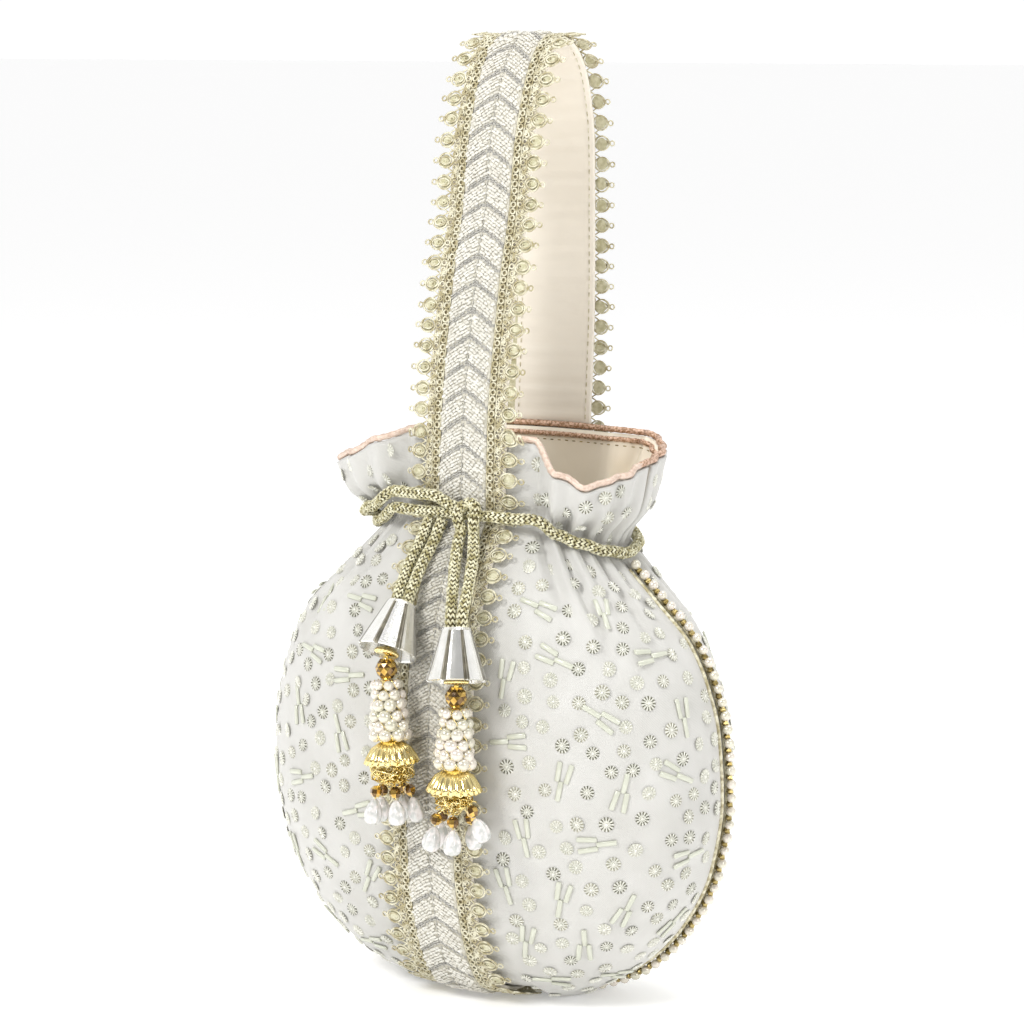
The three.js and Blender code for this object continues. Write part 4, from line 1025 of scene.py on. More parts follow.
# %% Cloth strip under the braid
strip_along = np.linspace(0, ALONG[-1], 640)
strip_x = np.array([-17.8, -17.2, -13, -9, -5, 0, 5, 9, 13, 17.2, 17.8])
edge_dip = np.array([0.5, 0, 0, 0, 0, 0, 0, 0, 0, 0, 0.5])
along, x = np.meshgrid(strip_along, strip_x, indexing="ij")
ripple = 0.26 * np.sin(along * 0.95 + 0.05 * x) * np.sin(along * 0.23 + 0.03 * x) * (np.abs(x) < 16)
face, _ = strap_at(along, x, STRIP_FACE - edge_dip[None])
underside, _ = strap_at(along, x, STRIP_UNDERSIDE + edge_dip[None] + 0.15 + ripple)
strip_uv = np.stack([x, along], axis=-1).reshape(-1, 2)
add_piece("strap_cloth", walled_grid(face, underside), [strap_satin], ["strap_cloth"],
          uv=np.concatenate([strip_uv, strip_uv]))

# %% Stitches along the edges of the strip's inner face
stitch_at = np.arange(250, ALONG[-1] - 245, 3.3)
stitch_rows = []
for x in (-15.6, 15.6):
    place, frames = strap_frames(stitch_at, np.full(len(stitch_at), x), STRIP_UNDERSIDE - 0.02)
    stitch_rows.append(copies(grain(2.3, 0.55, 0.5), place, frames[:, [1, 0, 2]] * ((1,), (-1,), (1,))))
add_piece("strap_stitches", joined(*stitch_rows)[0], [lace_thread])

# %% [markdown]
# ## Knitted chevron braid
# The braid down the strap's middle is chunky knitting: cream blocks that puff up between thin grey
# chevrons, with a grey line down the middle. A bump map would look flat from the side, so each
# stitch is a small grain of yarn, laid on a puffed ground. The ground takes darker copies of the
# yarns' colours, as painted shade between the stitches.

# %% Ground of the braid
CHEVRON_PITCH, CHEVRON_SLOPE = 10.5, 0.5


def chevron_phase(along, x):
    """0 on a grey line, and growing to 1 at the next one."""
    return ((along + CHEVRON_SLOPE * np.abs(x) + 0.012 * x**2) / CHEVRON_PITCH) % 1


def braid_height(along, x):
    phase = chevron_phase(along, x)
    puff = np.sin(np.pi * np.clip((phase - 0.1) / 0.9, 0, 1)) ** 0.6
    rounding = (np.abs(x) / 10.3) ** 6
    spine = np.exp(-((x / 0.8) ** 2))
    return BRAID_FACE - 0.75 + 0.55 * puff - 0.6 * rounding - 0.35 * spine


braid_along = np.linspace(0.5, ALONG[-1] - 0.5, 700)
braid_x = np.linspace(-10.3, 10.3, 17)
along, x = np.meshgrid(braid_along, braid_x, indexing="ij")
face, _ = strap_at(along, x, braid_height(along, x))
underside, _ = strap_at(along, x, BRAID_UNDERSIDE)
middle_x, middle_along = (x[1:, 1:] + x[:-1, :-1]) / 2, (along[1:, 1:] + along[:-1, :-1]) / 2
is_grey = (chevron_phase(middle_along, middle_x) < 0.13).ravel()
shape = walled_grid(face, underside)
parts = np.zeros(len(shape[1]), np.int32)
parts[:len(is_grey)] = is_grey
add_piece("braid_ground", shape, [cream_yarn_shade, grey_yarn_shade], ["chevron_braid"], parts=parts)


# %% Stitches of the braid
braid_rng = np.random.default_rng(17)


def braid_stitches(phases, x_positions, length, width, thickness, lean_along=False, jitter=0.12):
    """Grains of yarn at given phases of every chevron, on both sides of the middle."""
    blocks = np.arange(-1, int(ALONG[-1] / CHEVRON_PITCH) + 2)
    block, phase, x = np.meshgrid(blocks, phases, x_positions, indexing="ij")
    block, phase, x = block.ravel(), phase.ravel(), x.ravel()
    x = x + braid_rng.normal(0, jitter, len(x)) * (np.abs(x) > 0.5)
    along = (block + phase) * CHEVRON_PITCH - CHEVRON_SLOPE * np.abs(x) - 0.012 * x**2
    along += braid_rng.normal(0, jitter, len(x))
    kept = (along > 1.5) & (along < ALONG[-1] - 1.5) & (np.abs(x) < 9.9)
    along, x = along[kept], x[kept]
    place, frames = strap_frames(along, x, braid_height(along, x) + 0.32)
    above_floor = place[:, 2] > 1.3
    place, frames, along, x = place[above_floor], frames[above_floor], along[above_floor], x[above_floor]
    place += frames[:, 2] * braid_rng.normal(0, 0.08, (len(place), 1))
    lean = -np.sign(x) * (CHEVRON_SLOPE + 0.024 * np.abs(x)) + braid_rng.normal(0, 0.22, len(x))
    direction = frames[:, 1] if lean_along else frames[:, 0] + frames[:, 1] * lean[:, None]
    sizes = braid_rng.uniform(0.85, 1.15, (len(place), 1))
    return copies(grain(length, width, thickness), place, frames_from(direction, frames[:, 2]), sizes)


half_stitches = np.arange(0.95, 10.0, 1.5)
both_sides = np.concatenate([-half_stitches[::-1], half_stitches])
cream_rows = [braid_stitches([p], both_sides + shift * np.sign(both_sides), 2.15, 1.45, 1.05)
              for p, shift in ((0.25, 0), (0.38, 0.7), (0.51, 0), (0.64, 0.7), (0.77, 0), (0.9, 0.7))]
add_piece("braid_cream_stitches", joined(*cream_rows)[0], [cream_yarn])
grey_rows = [braid_stitches([0.05], both_sides, 1.8, 0.7, 0.8),
             braid_stitches([0.14], both_sides, 1.8, 0.7, 0.8),
             braid_stitches(np.arange(0, 1, 1 / 6), np.array([0.001]), 1.7, 0.6, 0.8, True, 0.05)]
add_piece("braid_grey_stitches", joined(*grey_rows)[0], [grey_yarn])

# %% [markdown]
# ## Lace edges
# Guipure lace is thread worked into rings and curls with open air between. One repeat of the edge
# holds a chain of small rings, two curls, a round medallion filled with thread, and a picot ring at
# its tip. Building the repeat once and bending copies along the strap keeps the openings real.

# %% One repeat of the lace
LACE_PITCH, LACE_LIFT = 8.2, STRIP_FACE + GAP + 0.35 + 0.55


def spiral(inner, outer, turns, steps, centre=(0, 0), start=0.0):
    t = np.linspace(0, 1, steps)
    radius = inner + (outer - inner) * t
    turn = start + 2 * np.pi * turns * t
    return np.stack([centre[0] + radius * np.cos(turn), centre[1] + radius * np.sin(turn), np.zeros(steps)],
                    axis=1)


def moved(shape, x, y, z=0.0):
    return np.asarray(shape[0]) + (x, y, z), shape[1]


def lace_repeat():
    """Thread, leaf and painted shade of one repeat: X is the distance from the middle, Y runs along."""
    thread = [moved(ring_of_thread(1.05, 0.42, 10), 12.2, y, 0.1) for y in (-2.73, 0, 2.73)]
    thread += [tube([(10.75, y, 0.1) for y in np.linspace(-4.1, 4.1, 5)], 0.34, 4)]
    thread += [tube([(13.9, y, 0.12 * math.sin(y * 2.3)) for y in np.linspace(-4.1, 4.1, 7)], 0.32, 4)]
    for side in (-1, 1):
        thread.append(tube(spiral(0.45, 1.35, 1.4, 14, (15.5, side * 2.5), side * 1.2), 0.42, 4))
        curl = curve_through([(14.2, side * 4.0, 0), (16.8, side * 3.9, 0.15), (18.6, side * 2.9, 0.3)], 3)
        thread.append(tube(curl, 0.34, 4))
    thread.append(moved(ring_of_thread(1.0, 0.36, 8), 15.2, 0, 0.3))
    turn = np.linspace(0, 2 * np.pi, 20, endpoint=False)
    loop = np.stack([19.8 + 2.75 * np.cos(turn) + 0.5 * np.cos(turn) ** 3, 2.8 * np.sin(turn),
                     0.15 + 0 * turn], axis=1)
    thread.append(tube(loop, 0.44, 4, is_closed=True))
    thread.append(tube(loop * (1, 0.72, 1) * 0.72 + (5.55, 0, 0.25), 0.36, 4, is_closed=True))
    thread.append(tube([(22.6, 0, 0), (23.5, 0, 0.1)], 0.42, 4))
    thread.append(moved(ring_of_thread(1.0, 0.36, 10), 24.5, 0))
    leaf = turned([(1.85, 0.1), (1.4, 0.55), (0.45, 0.7), (0, 0.45)], 12)
    leaf = moved((leaf[0] * (1.1, 0.8, 1), leaf[1]), 20.1, 0)
    eye = moved(turned([(0.42, 0.5), (0.3, 0.82), (0, 0.88)], 6), 19.2, 0)
    disc = moved(turned([(2.5, -0.2), (0, -0.1)], 12), 19.8, 0)
    # The dark strip under the ring chain and the dark eye dot on the leaf are painted shade, for the shadow
    # seen through the lace's openings.
    strip = np.array([(10.6, y, -0.3) for y in (-4.1, 4.1)] + [(14.0, y, -0.3) for y in (-4.1, 4.1)])
    ground = joined(eye, (strip, [(0, 2, 3, 1)]))[0]
    return joined(*thread)[0], joined(leaf, disc)[0], ground


def lace_edge(name, side, node):
    count = int(round(ALONG[-1] / LACE_PITCH))
    pitch = ALONG[-1] / count
    rng = np.random.default_rng(3 + side)
    made = []
    for points, faces in lace_repeat():
        all_points, all_faces = [], []
        for k in range(count):
            wobble = rng.normal(0, 0.12, 2)
            x, y, z = np.asarray(points).T
            droop = rng.normal(0, 0.25) * np.clip((x - 14) / 10, 0, 1)
            along = np.clip((k + 0.5) * pitch + side * y * pitch / LACE_PITCH + wobble[0] * (x > 14), 0,
                            ALONG[-1])
            place, _ = strap_at(along, side * (x + wobble[1] * (x > 14)), LACE_LIFT + z + droop)
            all_points.append(place)
            all_faces += [tuple(i + k * len(points) for i in face) for face in faces]
        made.append((np.concatenate(all_points), all_faces))
    shape, parts = joined(*made)
    add_piece(name, shape, [lace_thread, lace_leaf, lace_painted_shade], [node], parts=parts)


lace_edge("lace_left", -1, "lace_left")
lace_edge("lace_right", 1, "lace_right")

# %% [markdown]
# ## Knitted drawstring
# The cord is a thin knitted tube: columns of V-shaped stitches run along it. Each V is two grains of
# yarn that lean towards each other on a core. The core is coloured near black as painted shade, for
# the shadow that shows between the stitches of real knitting. The same maker serves the ring round
# the neck, its second strand and the four ends.

# %% The knitted cord maker
CORD_RADIUS, CORD_SEAT, CORD_RAMP = 2.4, 1.5, 12
KNOT_OFFSET, KNOT_WIDTH = 6.8, 12.5


def knitted(path, columns=7, stitch=2.0):
    rows = spaced(path, stitch)
    along, side, up = frames_along(rows)
    rng = np.random.default_rng(len(rows))
    places, frames = [], []
    for column in range(columns):
        for leg in (-1, 1):
            turn = 2 * np.pi * (column + 0.25 * leg) / columns
            radial = math.cos(turn) * side + math.sin(turn) * up
            around = -math.sin(turn) * side + math.cos(turn) * up
            places.append(rows + radial * (CORD_RADIUS - 0.5 + rng.normal(0, 0.08, (len(rows), 1))))
            frames.append(frames_from(along * 0.84 - around * leg * (0.54 + rng.normal(0, 0.08,
                                                                                       (len(rows), 1))),
                                      radial))
    yarn = copies(grain(2.7, 1.0, 1.0), np.concatenate(places), np.concatenate(frames))
    # The core tube under the stitches is coloured as painted shade.
    return yarn, tube(spaced(path, 2.4), CORD_RADIUS - 0.75, 8)


def cord_piece(name, path, nodes=()):
    shape, parts = joined(*knitted(path))
    return add_piece(name, shape, [cord_yarn_and_highlights, cord_shade_core], nodes, parts=parts)


# %% Cord round the neck
def cord_point(angle, raise_by=0.0):
    def seat(level):
        point, _ = form(angle, np.full(angle.shape, float(level)))
        over_strap = 1 - ease((np.abs(point[:, 0]) - LACE_PEAK - 1) / CORD_RAMP)
        normal = form_normal(angle, np.full(angle.shape, float(level)))
        normal[:, 2] *= over_strap
        return point + unit(normal) * (CORD_RADIUS + CORD_SEAT + BRAID_FACE * over_strap)[:, None]
    low = seat(NECK)
    up = unit((seat(NECK + 1) + seat(NECK + 2)) / 2 - low)
    return low + up * raise_by


knot_right = float(angle_at(KNOT_OFFSET + KNOT_WIDTH / 2 + GAP, NECK, True))
knot_left = float(angle_at(KNOT_OFFSET - KNOT_WIDTH / 2 - GAP, NECK, True))
ring_path = cord_point(np.linspace(knot_right + 0.12, knot_left - 2 * math.pi - 0.1, 160))
cord_piece("drawstring", ring_path, ["drawstring"])
double_angles = np.linspace(knot_left - 0.1, math.radians(186), 60)
double_rise = 6.8 * ease((double_angles - double_angles[0]) / 0.25)
double_rise *= ease((double_angles[-1] - double_angles) / 0.1 + 0.4)
double_path = cord_point(double_angles)
double_path += (cord_point(double_angles, 1.0) - double_path) * double_rise[:, None]
double_path[:, 1] -= 0.6 * (1 - ease((double_angles - double_angles[0]) / 0.25))
cord_piece("drawstring_double", double_path, ["drawstring_double"])

# %% [markdown]
# ## Knot and hanging ends
# The right tassel's cord is looped over the ring, so its two ends hang side by side from a small arch.
# The left tassel's two ends come out from under the ring. The four ends are free cords, and the
# length of each is printed.

# %% Arch of the knot and the four ends
CONE_AXES = {
    "left": (np.array([-12.2, -60.8, 163.2]), np.array([-12.6, -71.2, 145.5]), np.array([-7.5, -74.8, 89])),
    "right": (np.array([16.4, -67.2, 157.1]), np.array([19.1, -72, 137.3]), np.array([18.7, -74, 80])),
}
TAILS = {
    "left": [[(-5.8, -41.3, 193.1), (-7.4, -45.4, 185), (-9, -51.6, 176.6)],
             [(-11.8, -41.2, 193.1), (-13.2, -45.4, 185), (-14.6, -51.6, 176.6)]],
    "right": [[(4.2, -43.1, 191.3), (5.2, -48.5, 182.5), (9.6, -58.5, 171.5)],
              [(9.6, -42.9, 191.5), (12.6, -48.3, 182.5), (16.4, -58.5, 171.5)]],
}
arch = curve_through([(4.2, -43.1, 191.3), (3.3, -44.2, 194.8), (3.4, -43.6, 198.2), (5.2, -41.8, 200.6),
                      (7.4, -41.2, 201.2), (9.4, -41.8, 200.4), (10.8, -43.5, 197.8), (10.4, -44.2, 194.6),
                      (9.6, -42.9, 191.5)], 6)
cord_piece("drawstring_knot", arch, ["drawstring_knot"])

tails = {}
for name, routes in TAILS.items():
    top, foot, _ = CONE_AXES[name]
    axis = unit(foot - top)
    sideways = unit(np.array([1.0, 0, 0]) - axis * axis[0])
    for k, route in enumerate(routes):
        aside = 1 if route[0][0] > routes[1 - k][0][0] else -1
        end = top - axis * GAP + sideways * aside * (CORD_RADIUS + GAP / 2)
        path = curve_through([*route, end - axis * 2 * CORD_RADIUS, end], 6)
        tails[name, k] = (cord_piece(f"cord_tail_{name}_{k + 1}", path, [f"cord_tail_{name}_{k + 1}"]), path)
        print(name, k, "end is", round(float(np.linalg.norm(np.diff(path, axis=0), axis=1).sum()), 1), "mm")

# %% [markdown]
# ## Tassels
# Each tassel hangs under a fluted silver cone: a gold ring, a faceted bead, a barrel of pearls, a
# pierced gold cap, a ball of tangled wire, and five beads with pearl drops. All are drawn hanging
# straight down, and then turned into the tassel's own line.

# %% Frames that hang down a line
def hanging(start, towards):
    """A frame whose -Z axis points along a line, as a 3 by 3 of axes."""
    down = unit(np.asarray(towards, float) - start)
    z = -down
    rest = np.array([0, 0, 1.0])
    if np.linalg.norm(np.cross(rest, z)) < 1e-9:
        return np.eye(3)
    turn = Vector(rest).rotation_difference(Vector(z)).to_matrix()
    return np.array(turn).T


def placed(shape, start, axes):
    return np.asarray(shape[0]) @ axes + start, shape[1]


CONE_HEIGHT, RING_HEIGHT, FACET_HEIGHT, CLUSTER_HEIGHT = 20.5, 2.4, 7.8, 23.5
CONE_TURN = math.radians(-62)
CAP_HEIGHT, CAP_DEPTH, WIRE_RADIUS, WIRE_HEIGHT = 8.8, 0.52, 9, 13.4
BEAD_RADIUS = 2.35


# %% Cone, ring and facet bead
def cone_shape(flutes=8):
    """Wide panels with pairs of narrow grooves between them, open below, and which faces are grooves."""
    across = (0, 0.03, 0.06, 0.09, 0.13, 0.3, 0.5, 0.7, 0.87, 0.91, 0.94, 0.97)
    groove_at = {0: 0.02, 0.03: 0.08, 0.06: 0.02, 0.09: 0.08, 0.91: 0.08, 0.94: 0.02, 0.97: 0.08}
    turn = np.array([2 * np.pi * (k + a - 0.5) / flutes + CONE_TURN for k in range(flutes) for a in across])
    from_middle = np.array([2 * np.pi * (a - 0.5) / flutes for _ in range(flutes) for a in across])
    flat = 0.5 + 0.5 * math.cos(math.pi / flutes) / np.cos(from_middle)
    radial = flat + 0.03 - np.array([groove_at.get(a, 0) for _ in range(flutes) for a in across])
    profile = [(4.2, -1.4), (7.6, -10), (10.8, -19.9), (11.2, -20.7), (11.8, -20.3), (8.6, -10), (5.9, -1.2),
               (5.2, -0.1), (0, 0.1)]
    points, faces, rings = [], [], []
    for r, height in profile:
        rings.append([len(points)] * len(turn) if r == 0 else [len(points) + c for c in range(len(turn))])
        if r == 0:
            points.append((0, 0, height))
        else:
            points += list(zip(r * radial * np.cos(turn), r * radial * np.sin(turn), [height] * len(turn)))
    for low, high in zip(rings, rings[1:]):
        for c in range(len(turn)):
            n = (c + 1) % len(turn)
            faces.append(tuple(dict.fromkeys((low[c], low[n], high[n], high[c]))))
    in_groove = [0.06 < turn_share < 0.13 or turn_share < 0.03 or turn_share > 0.91 for turn_share in
                 [(a + b) / 2 for a, b in zip(across, across[1:] + (1,))]] * flutes
    parts = [int(in_groove[c] and 2 < k < 6) for k in range(len(rings) - 1) for c in range(len(turn))] + [0]
    faces.append(tuple(rings[0][::-1]))
    return np.array(points), faces, parts


def ring_shape():
    foot = -CONE_HEIGHT - RING_HEIGHT / 2
    beads = copies(ball(8, 6, 0.75), [(4.2 * math.cos(t), 4.2 * math.sin(t),
                                       foot + 0.9) for t in np.arange(0, 6.28, 0.349)],
                   np.repeat(np.eye(3)[None], 18, axis=0))
    body = turned([(0, foot), (3.6, foot), (4.3, foot + 0.5), (4.3, foot + 1.7), (3.4, foot + RING_HEIGHT),
                   (1.3, foot + RING_HEIGHT + 0.3), (1.3, -1.1), (0, -1.1)], 20)
    return joined(body, beads)[0]


def facet_shape():
    """Rondelle cut with rows of staggered facets."""
    sides, levels = 10, [(0, 2.3), (-1.6, 3.7), (-3.2, 4.3), (-4.8, 4.3), (-6.4, 3.6), (-7.8, 2.2)]
    points = [(0, 0, 0.0)]
    for k, (z, r) in enumerate(levels):
        points += [(r * math.cos(2 * math.pi * (c + 0.5 * (k % 2)) / sides),
                    r * math.sin(2 * math.pi * (c + 0.5 * (k % 2)) / sides), z) for c in range(sides)]
    points.append((0, 0, -FACET_HEIGHT))
    faces = [(0, 1 + c, 1 + (c + 1) % sides) for c in range(sides)]
    for k in range(len(levels) - 1):
        a, b = 1 + k * sides, 1 + (k + 1) * sides
        for c in range(sides):
            n, p = (c + 1) % sides, c if k % 2 == 0 else (c + 1) % sides
            if k % 2 == 0:
                faces += [(a + c, b + c, a + n), (a + n, b + c, b + n)]
            else:
                faces += [(a + c, b + n, a + n), (a + c, b + c, b + n)]
    last = 1 + (len(levels) - 1) * sides
    faces += [(last + (c + 1) % sides, last + c, len(points) - 1) for c in range(sides)]
    return np.array(points), faces


print("cone", len(cone_shape()[1]), "faces")


# %% Pearl barrel, pierced cap and wire ball
def pearl_barrel():
    places, sizes = [], []
    rows, across = 6, 7
    rng = np.random.default_rng(41)
    for row in range(rows):
        share = (row + 0.5) / rows
        size = 1.95 + 0.55 * share
        reach = (6.3 + 2.2 * share) - size
        for k in range(across):
            turn = 2 * np.pi * (k + 0.5 * (row % 2)) / across
            reach_here, drop = reach + rng.normal(0, 0.22), rng.normal(0, 0.3)
            places.append((reach_here * math.cos(turn), reach_here * math.sin(turn),
                           drop - CLUSTER_HEIGHT * share))
            sizes.append(size * rng.uniform(0.98, 1.2))
    frames = np.repeat(np.eye(3)[None], len(places), axis=0)
    pearls = copies(ball(14, 9, 1.0), places, frames, np.array(sizes)[:, None])
    core = turned([(0, -CLUSTER_HEIGHT), (4.6, -CLUSTER_HEIGHT + 0.3), (3.4, -0.3), (0, 0)], 14)
    threads = []
    for k in range(across):
        for lean in (-0.5, 0.5):
            t = np.linspace(0, 1, 13)
            turn = 2 * np.pi * (k + lean * t * rows + 0.25) / across
            reach = 4.9 + 1.9 * t
            threads.append(tube(np.stack([reach * np.cos(turn), reach * np.sin(turn), -CLUSTER_HEIGHT * t],
                                         axis=1), 0.2, 4))
    return pearls, joined(core, *threads)[0]


def cap_shape(flutes=22):
    """A flared umbrella with sharp ribs."""
    columns = 4 * flutes
    turn = 2 * np.pi * np.arange(columns) / columns
    wave = np.abs(np.cos(flutes * turn / 2)) * 2 - 1.2
    profile = [(0, -0.7), (3.2, -1.0), (6.6, -3.0), (8.9, -6.3), (9.9, -8.6), (10.4, -8.4), (9.4, -6.0),
               (7.3, -2.6), (4.6, -0.7), (2.6, 0.0), (1.7, 0.5), (0, 0.6)]
    depth = [0, 0.03, 0.05, 0.06, 0.07, 0.08, 0.08, 0.08, 0.09, 0.05, 0, 0]
    return turned(profile, columns, np.stack([1 + d * wave for d in depth]))


def cap_rim(holes=16):
    places, frames = [], []
    for k in range(holes):
        turn = 2 * np.pi * k / holes
        radial = np.array([math.cos(turn), math.sin(turn), 0.25])
        places.append((9.7 * math.cos(turn), 9.7 * math.sin(turn), -7.9))
        frames.append(frames_from(np.cross(radial, (0, 0, 1.0)), unit(radial)))
    return copies(ring_of_thread(0.95, 0.38, 10, 5), places, np.array(frames))


def wire_ball(seed):
    rng = np.random.default_rng(seed)
    wires = []
    for k in range(20):
        t = np.linspace(0, 2 * np.pi, 56, endpoint=False)
        a, b, c = rng.normal(0, 1, (3, 3))
        path = (np.outer(np.cos(t), a) + np.outer(np.sin(t), b) + 0.8 * np.outer(np.sin(3 * t + k), c)
                + 0.5 * np.outer(np.cos(5 * t), b) + 0.3 * np.outer(np.sin(7 * t), a))
        path = unit(path) * (1 + 0.2 * np.sin(6 * t + k)[:, None]) * rng.uniform(0.55, 0.95)
        path = path * (WIRE_RADIUS - 0.9, WIRE_RADIUS - 0.9, WIRE_HEIGHT / 2 - 0.6) - (0, 0, WIRE_HEIGHT / 2)
        wires.append(tube(path, 0.33, 4, is_closed=True))
    return joined(*wires, placed(ball(12, 8, 1.0), np.array([0, 0, -WIRE_HEIGHT / 2 + 1]),
                                 np.diag([WIRE_RADIUS * 0.42, WIRE_RADIUS * 0.42, WIRE_HEIGHT * 0.3])))[0]


print("wire ball has", len(wire_ball(1)[1]), "faces")


# %% Small beads and pearl drops
def small_bead():
    return turned([(0, -2.35), (1.3, -2.1), (2.35, -0.8), (2.35, 0.8), (1.3, 2.1), (0, 2.35)], 7)


def pearl_drop(seed=0):
    """A full drop with soft flutes, as moulded pearl drops have."""
    profile = [(0, -10.2), (1.5, -10.0), (2.55, -9.3), (3.15, -8.0), (3.3, -6.4), (3.1, -4.6), (2.5, -2.9),
               (1.6, -1.4), (0.8, -0.4), (0, -0.1)]
    turn = 2 * np.pi * np.arange(28) / 28
    soft = np.stack([1 + 0.1 * np.cos(7 * turn + 0.25 * k + seed) + 0.03 * np.cos(2 * turn + seed)
                     for k in range(len(profile))])
    return turned(profile, 28, soft)


DANGLES = {
    "left": [(20, 36), (92, 38), (164, 34), (236, 40), (308, 36)],
    "right": [(342, 72), (45, 36), (160, 36), (230, 38), (300, 36)],
}


def dangle_places(around, under):
    """Where a bead sits on the wire ball, and the line that its drop hangs along."""
    around, under_angle = math.radians(around), math.radians(under)
    half = WIRE_HEIGHT / 2
    normal = unit(np.array([math.sin(under_angle) / WIRE_RADIUS, -math.cos(under_angle) / half]))
    r = WIRE_RADIUS * math.sin(under_angle) + normal[0] * (BEAD_RADIUS + GAP)
    z = -half - half * math.cos(under_angle) + normal[1] * (BEAD_RADIUS + GAP)
    droop = 0.2 + 0.55 * float(ease((under - 40) / 50))
    outward = np.array([math.cos(around), math.sin(around), 0])
    return outward * r + (0, 0, z), outward * droop + (0, 0, -math.sqrt(1 - droop**2))


# %% Hang both tassels
tassel_strings = {}
for name, (top, foot_axis, foot) in CONE_AXES.items():
    cone_axes = hanging(top, foot_axis)
    cone = cone_shape()
    # Faces in the grooves take the darker groove silver.
    cone = add_piece(f"cone_{name}", placed(cone, top, cone_axes), [silver, groove_silver],
                     [f"cone_{name}"], parts=cone[2], is_flat=True)
    ring = add_piece(f"cone_ring_{name}", placed(ring_shape(), top, cone_axes), [gold],
                     [f"cone_ring_{name}"])
    axis = unit(foot_axis - top)
    start = top + axis * (CONE_HEIGHT + RING_HEIGHT / 2 + GAP)
    axes = hanging(start, foot)
    down = unit(foot - start)
    fall = 2.3 * math.sin(math.acos(float(np.clip(axis @ down, -1, 1))))
    pieces = []
    place = start + down * fall
    shape = placed(facet_shape(), place, axes)
    # About a third of the facets take the dark amber, as painted shade and reflection.
    shades = np.random.default_rng(12).choice(2, len(shape[1]), p=(0.65, 0.35))
    pieces.append(add_piece(f"facet_bead_{name}", shape, [amber, amber_facet_shade],
                            [f"facet_bead_{name}"], parts=shades, is_flat=True))
    place = place + down * (FACET_HEIGHT + GAP)
    pearls, core = pearl_barrel()
    shape, parts = joined(placed(pearls, place, axes), placed(core, place, axes))
    pieces.append(add_piece(f"pearl_cluster_{name}", shape, [pearl, gold],
                            [f"pearl_cluster_{name}"], parts=parts))
    place = place + down * (CLUSTER_HEIGHT + GAP)
    pieces.append(add_piece(f"cap_{name}",
                            joined(placed(cap_shape(), place, axes), placed(cap_rim(), place, axes))[0],
                            [gold], [f"cap_{name}"]))
    place = place + down * (CAP_DEPTH * CAP_HEIGHT + GAP)
    pieces.append(add_piece(f"wire_ball_{name}", placed(wire_ball(7 if name == "left" else 8), place, axes),
                            [gold],
                            [f"wire_ball_{name}"]))
    beads, drops, pins = [], [], []
    for around, under in DANGLES[name]:
        spot, fall_line = dangle_places(around, under)
        local = hanging(np.zeros(3), fall_line)
        beads.append(placed(placed(small_bead(), spot, local), place, axes))
        drops.append(placed(placed(pearl_drop(around), spot + unit(fall_line) * (BEAD_RADIUS + GAP), local),
                            place, axes))
        inner = np.array([0, 0, -WIRE_HEIGHT / 2]) * 0.8 + spot * 0.2
        line = curve_through([inner, spot * 0.8 + inner * 0.2 + (0, 0, 1.0), spot,
                              spot + unit(fall_line) * 3.4], 4)
        pins.append(placed(tube(line, 0.33, 5), place, axes))
    shape = joined(*beads)[0]
    # Nearly half of the small beads' facets take the dark amber, as painted shade and reflection.
    shades = np.random.default_rng(9).choice(2, len(shape[1]), p=(0.55, 0.45))
    pieces.append(add_piece(f"small_beads_{name}", shape, [amber, amber_facet_shade],
                            [f"bead_{name}_{k}" for k in range(1, 6)], parts=shades, is_flat=True))
    pieces.append(add_piece(f"pearl_drops_{name}", joined(*drops)[0], [drop_pearl],
                            [f"drop_{name}_{k}" for k in range(1, 6)]))
    pieces.append(add_piece(f"drop_pins_{name}", joined(*pins)[0], [gold]))
    string_path = np.linspace(start, place + down * WIRE_HEIGHT * 0.5, 20)
    string = add_piece(f"tassel_string_{name}", tube(string_path, 1.0, 8), [gold])
    tassel_strings[name] = (string, string_path, cone, ring, pieces)
print("two tassels hung")


for name, (string, string_path, cone, ring, pieces) in tassel_strings.items():
    for k in (0, 1):
        tail, path = tails[name, k]

# %% [markdown]
# ## Light and ground
# The picture is high-key: a white sweep, a large soft light and almost no shadow. A white world does
# most of it. One broad lamp from the upper left gives the beads a highlight and the folds a soft side.

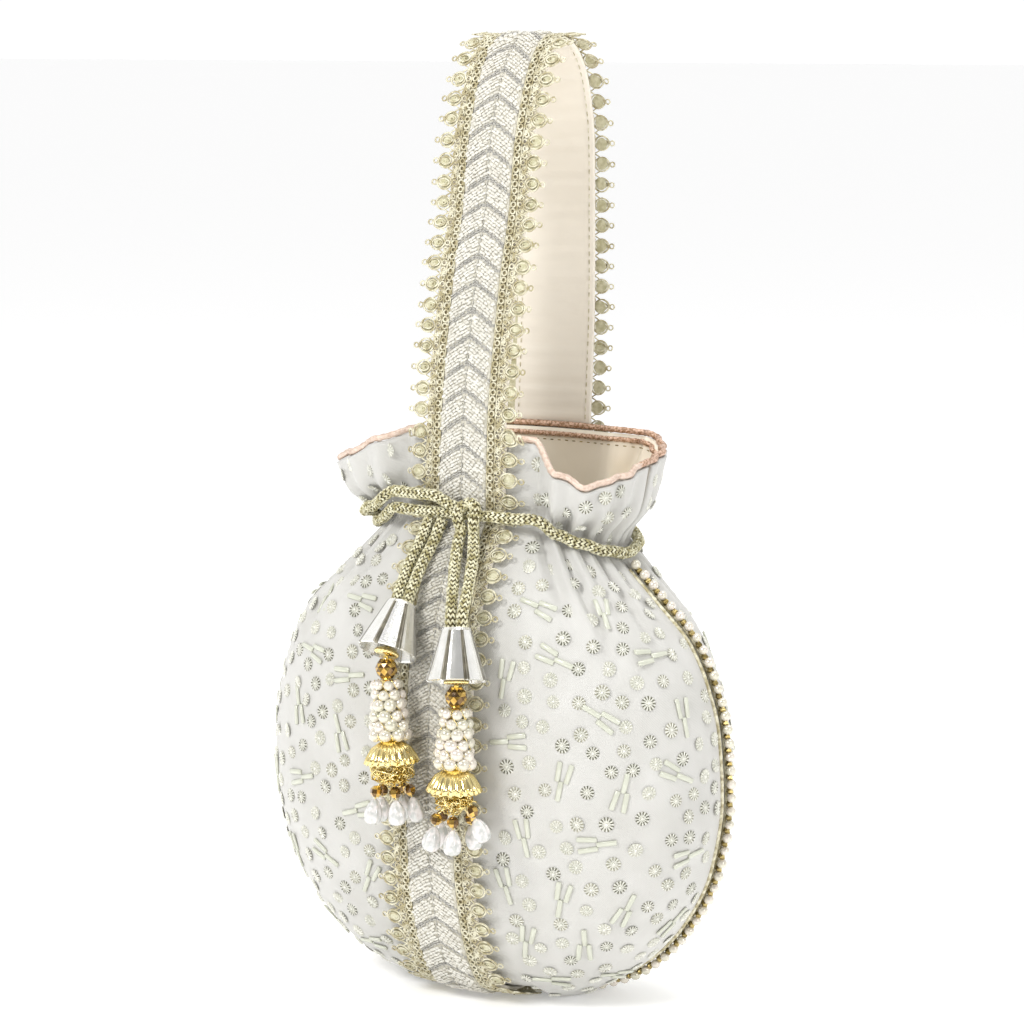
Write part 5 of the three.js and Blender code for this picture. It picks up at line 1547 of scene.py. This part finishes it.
# %% World: a white room that is darker behind the camera
scene = bpy.context.scene
scene.view_settings.view_transform = "Standard"
world_data = bpy.data.worlds.new("White room")
scene.world = world_data
world_data.use_nodes = True
room = world_data.node_tree
sky = room.nodes["Background"]
facing = room.nodes.new("ShaderNodeTexCoord")
aimed = room.nodes.new("ShaderNodeVectorMath")
aimed.operation = "DOT_PRODUCT"
aimed.inputs[1].default_value = backwards
room.links.new(facing.outputs["Generated"], aimed.inputs[0])
fade = room.nodes.new("ShaderNodeMapRange")
fade.interpolation_type = "SMOOTHSTEP"
for socket, value in zip(("From Min", "From Max", "To Min", "To Max"), (-0.2, 0.75, 1.04, 0.30)):
    fade.inputs[socket].default_value = value
room.links.new(aimed.outputs["Value"], fade.inputs["Value"])
room.links.new(fade.outputs["Result"], sky.inputs["Strength"])
sky.inputs["Color"].default_value = (1, 1, 1, 1)


# %% Lamps and floor
def lamp(name, place, size, energy):
    data = bpy.data.lights.new(name, "AREA")
    data.shape, data.size, data.energy = "DISK", size, energy
    light = bpy.data.objects.new(name, data)
    light.location = place
    light.rotation_mode = "QUATERNION"
    light.rotation_quaternion = (Vector((0, 0, 0.15)) - Vector(place)).to_track_quat("-Z", "Y")
    scene.collection.objects.link(light)


lamp("Key", (-0.25, -1.25, 1.15), 0.55, 15)
lamp("Side", (1.5, -0.6, 0.7), 0.5, 7)
lamp("Top", (0.3, 0.2, 1.7), 0.8, 8)
floor_mesh = bpy.data.meshes.new("floor")
floor_mesh.from_pydata([(-30, -30, 0), (30, -30, 0), (30, 30, 0), (-30, 30, 0)], [], [(0, 1, 2, 3)])
floor = bpy.data.objects.new("floor", floor_mesh)
scene.collection.objects.link(floor)
paper = bpy.data.materials.new("White paper")
paper.use_nodes = True
sweep = paper.node_tree.nodes["Principled BSDF"]
sweep.inputs["Base Color"].default_value = (0.98, 0.98, 0.98, 1)
sweep.inputs["Roughness"].default_value = 0.9
sweep.inputs["Emission Color"].default_value = (1, 1, 1, 1)
sweep.inputs["Emission Strength"].default_value = 0.22
floor_mesh.materials.append(paper)
print("lamps and floor ready")
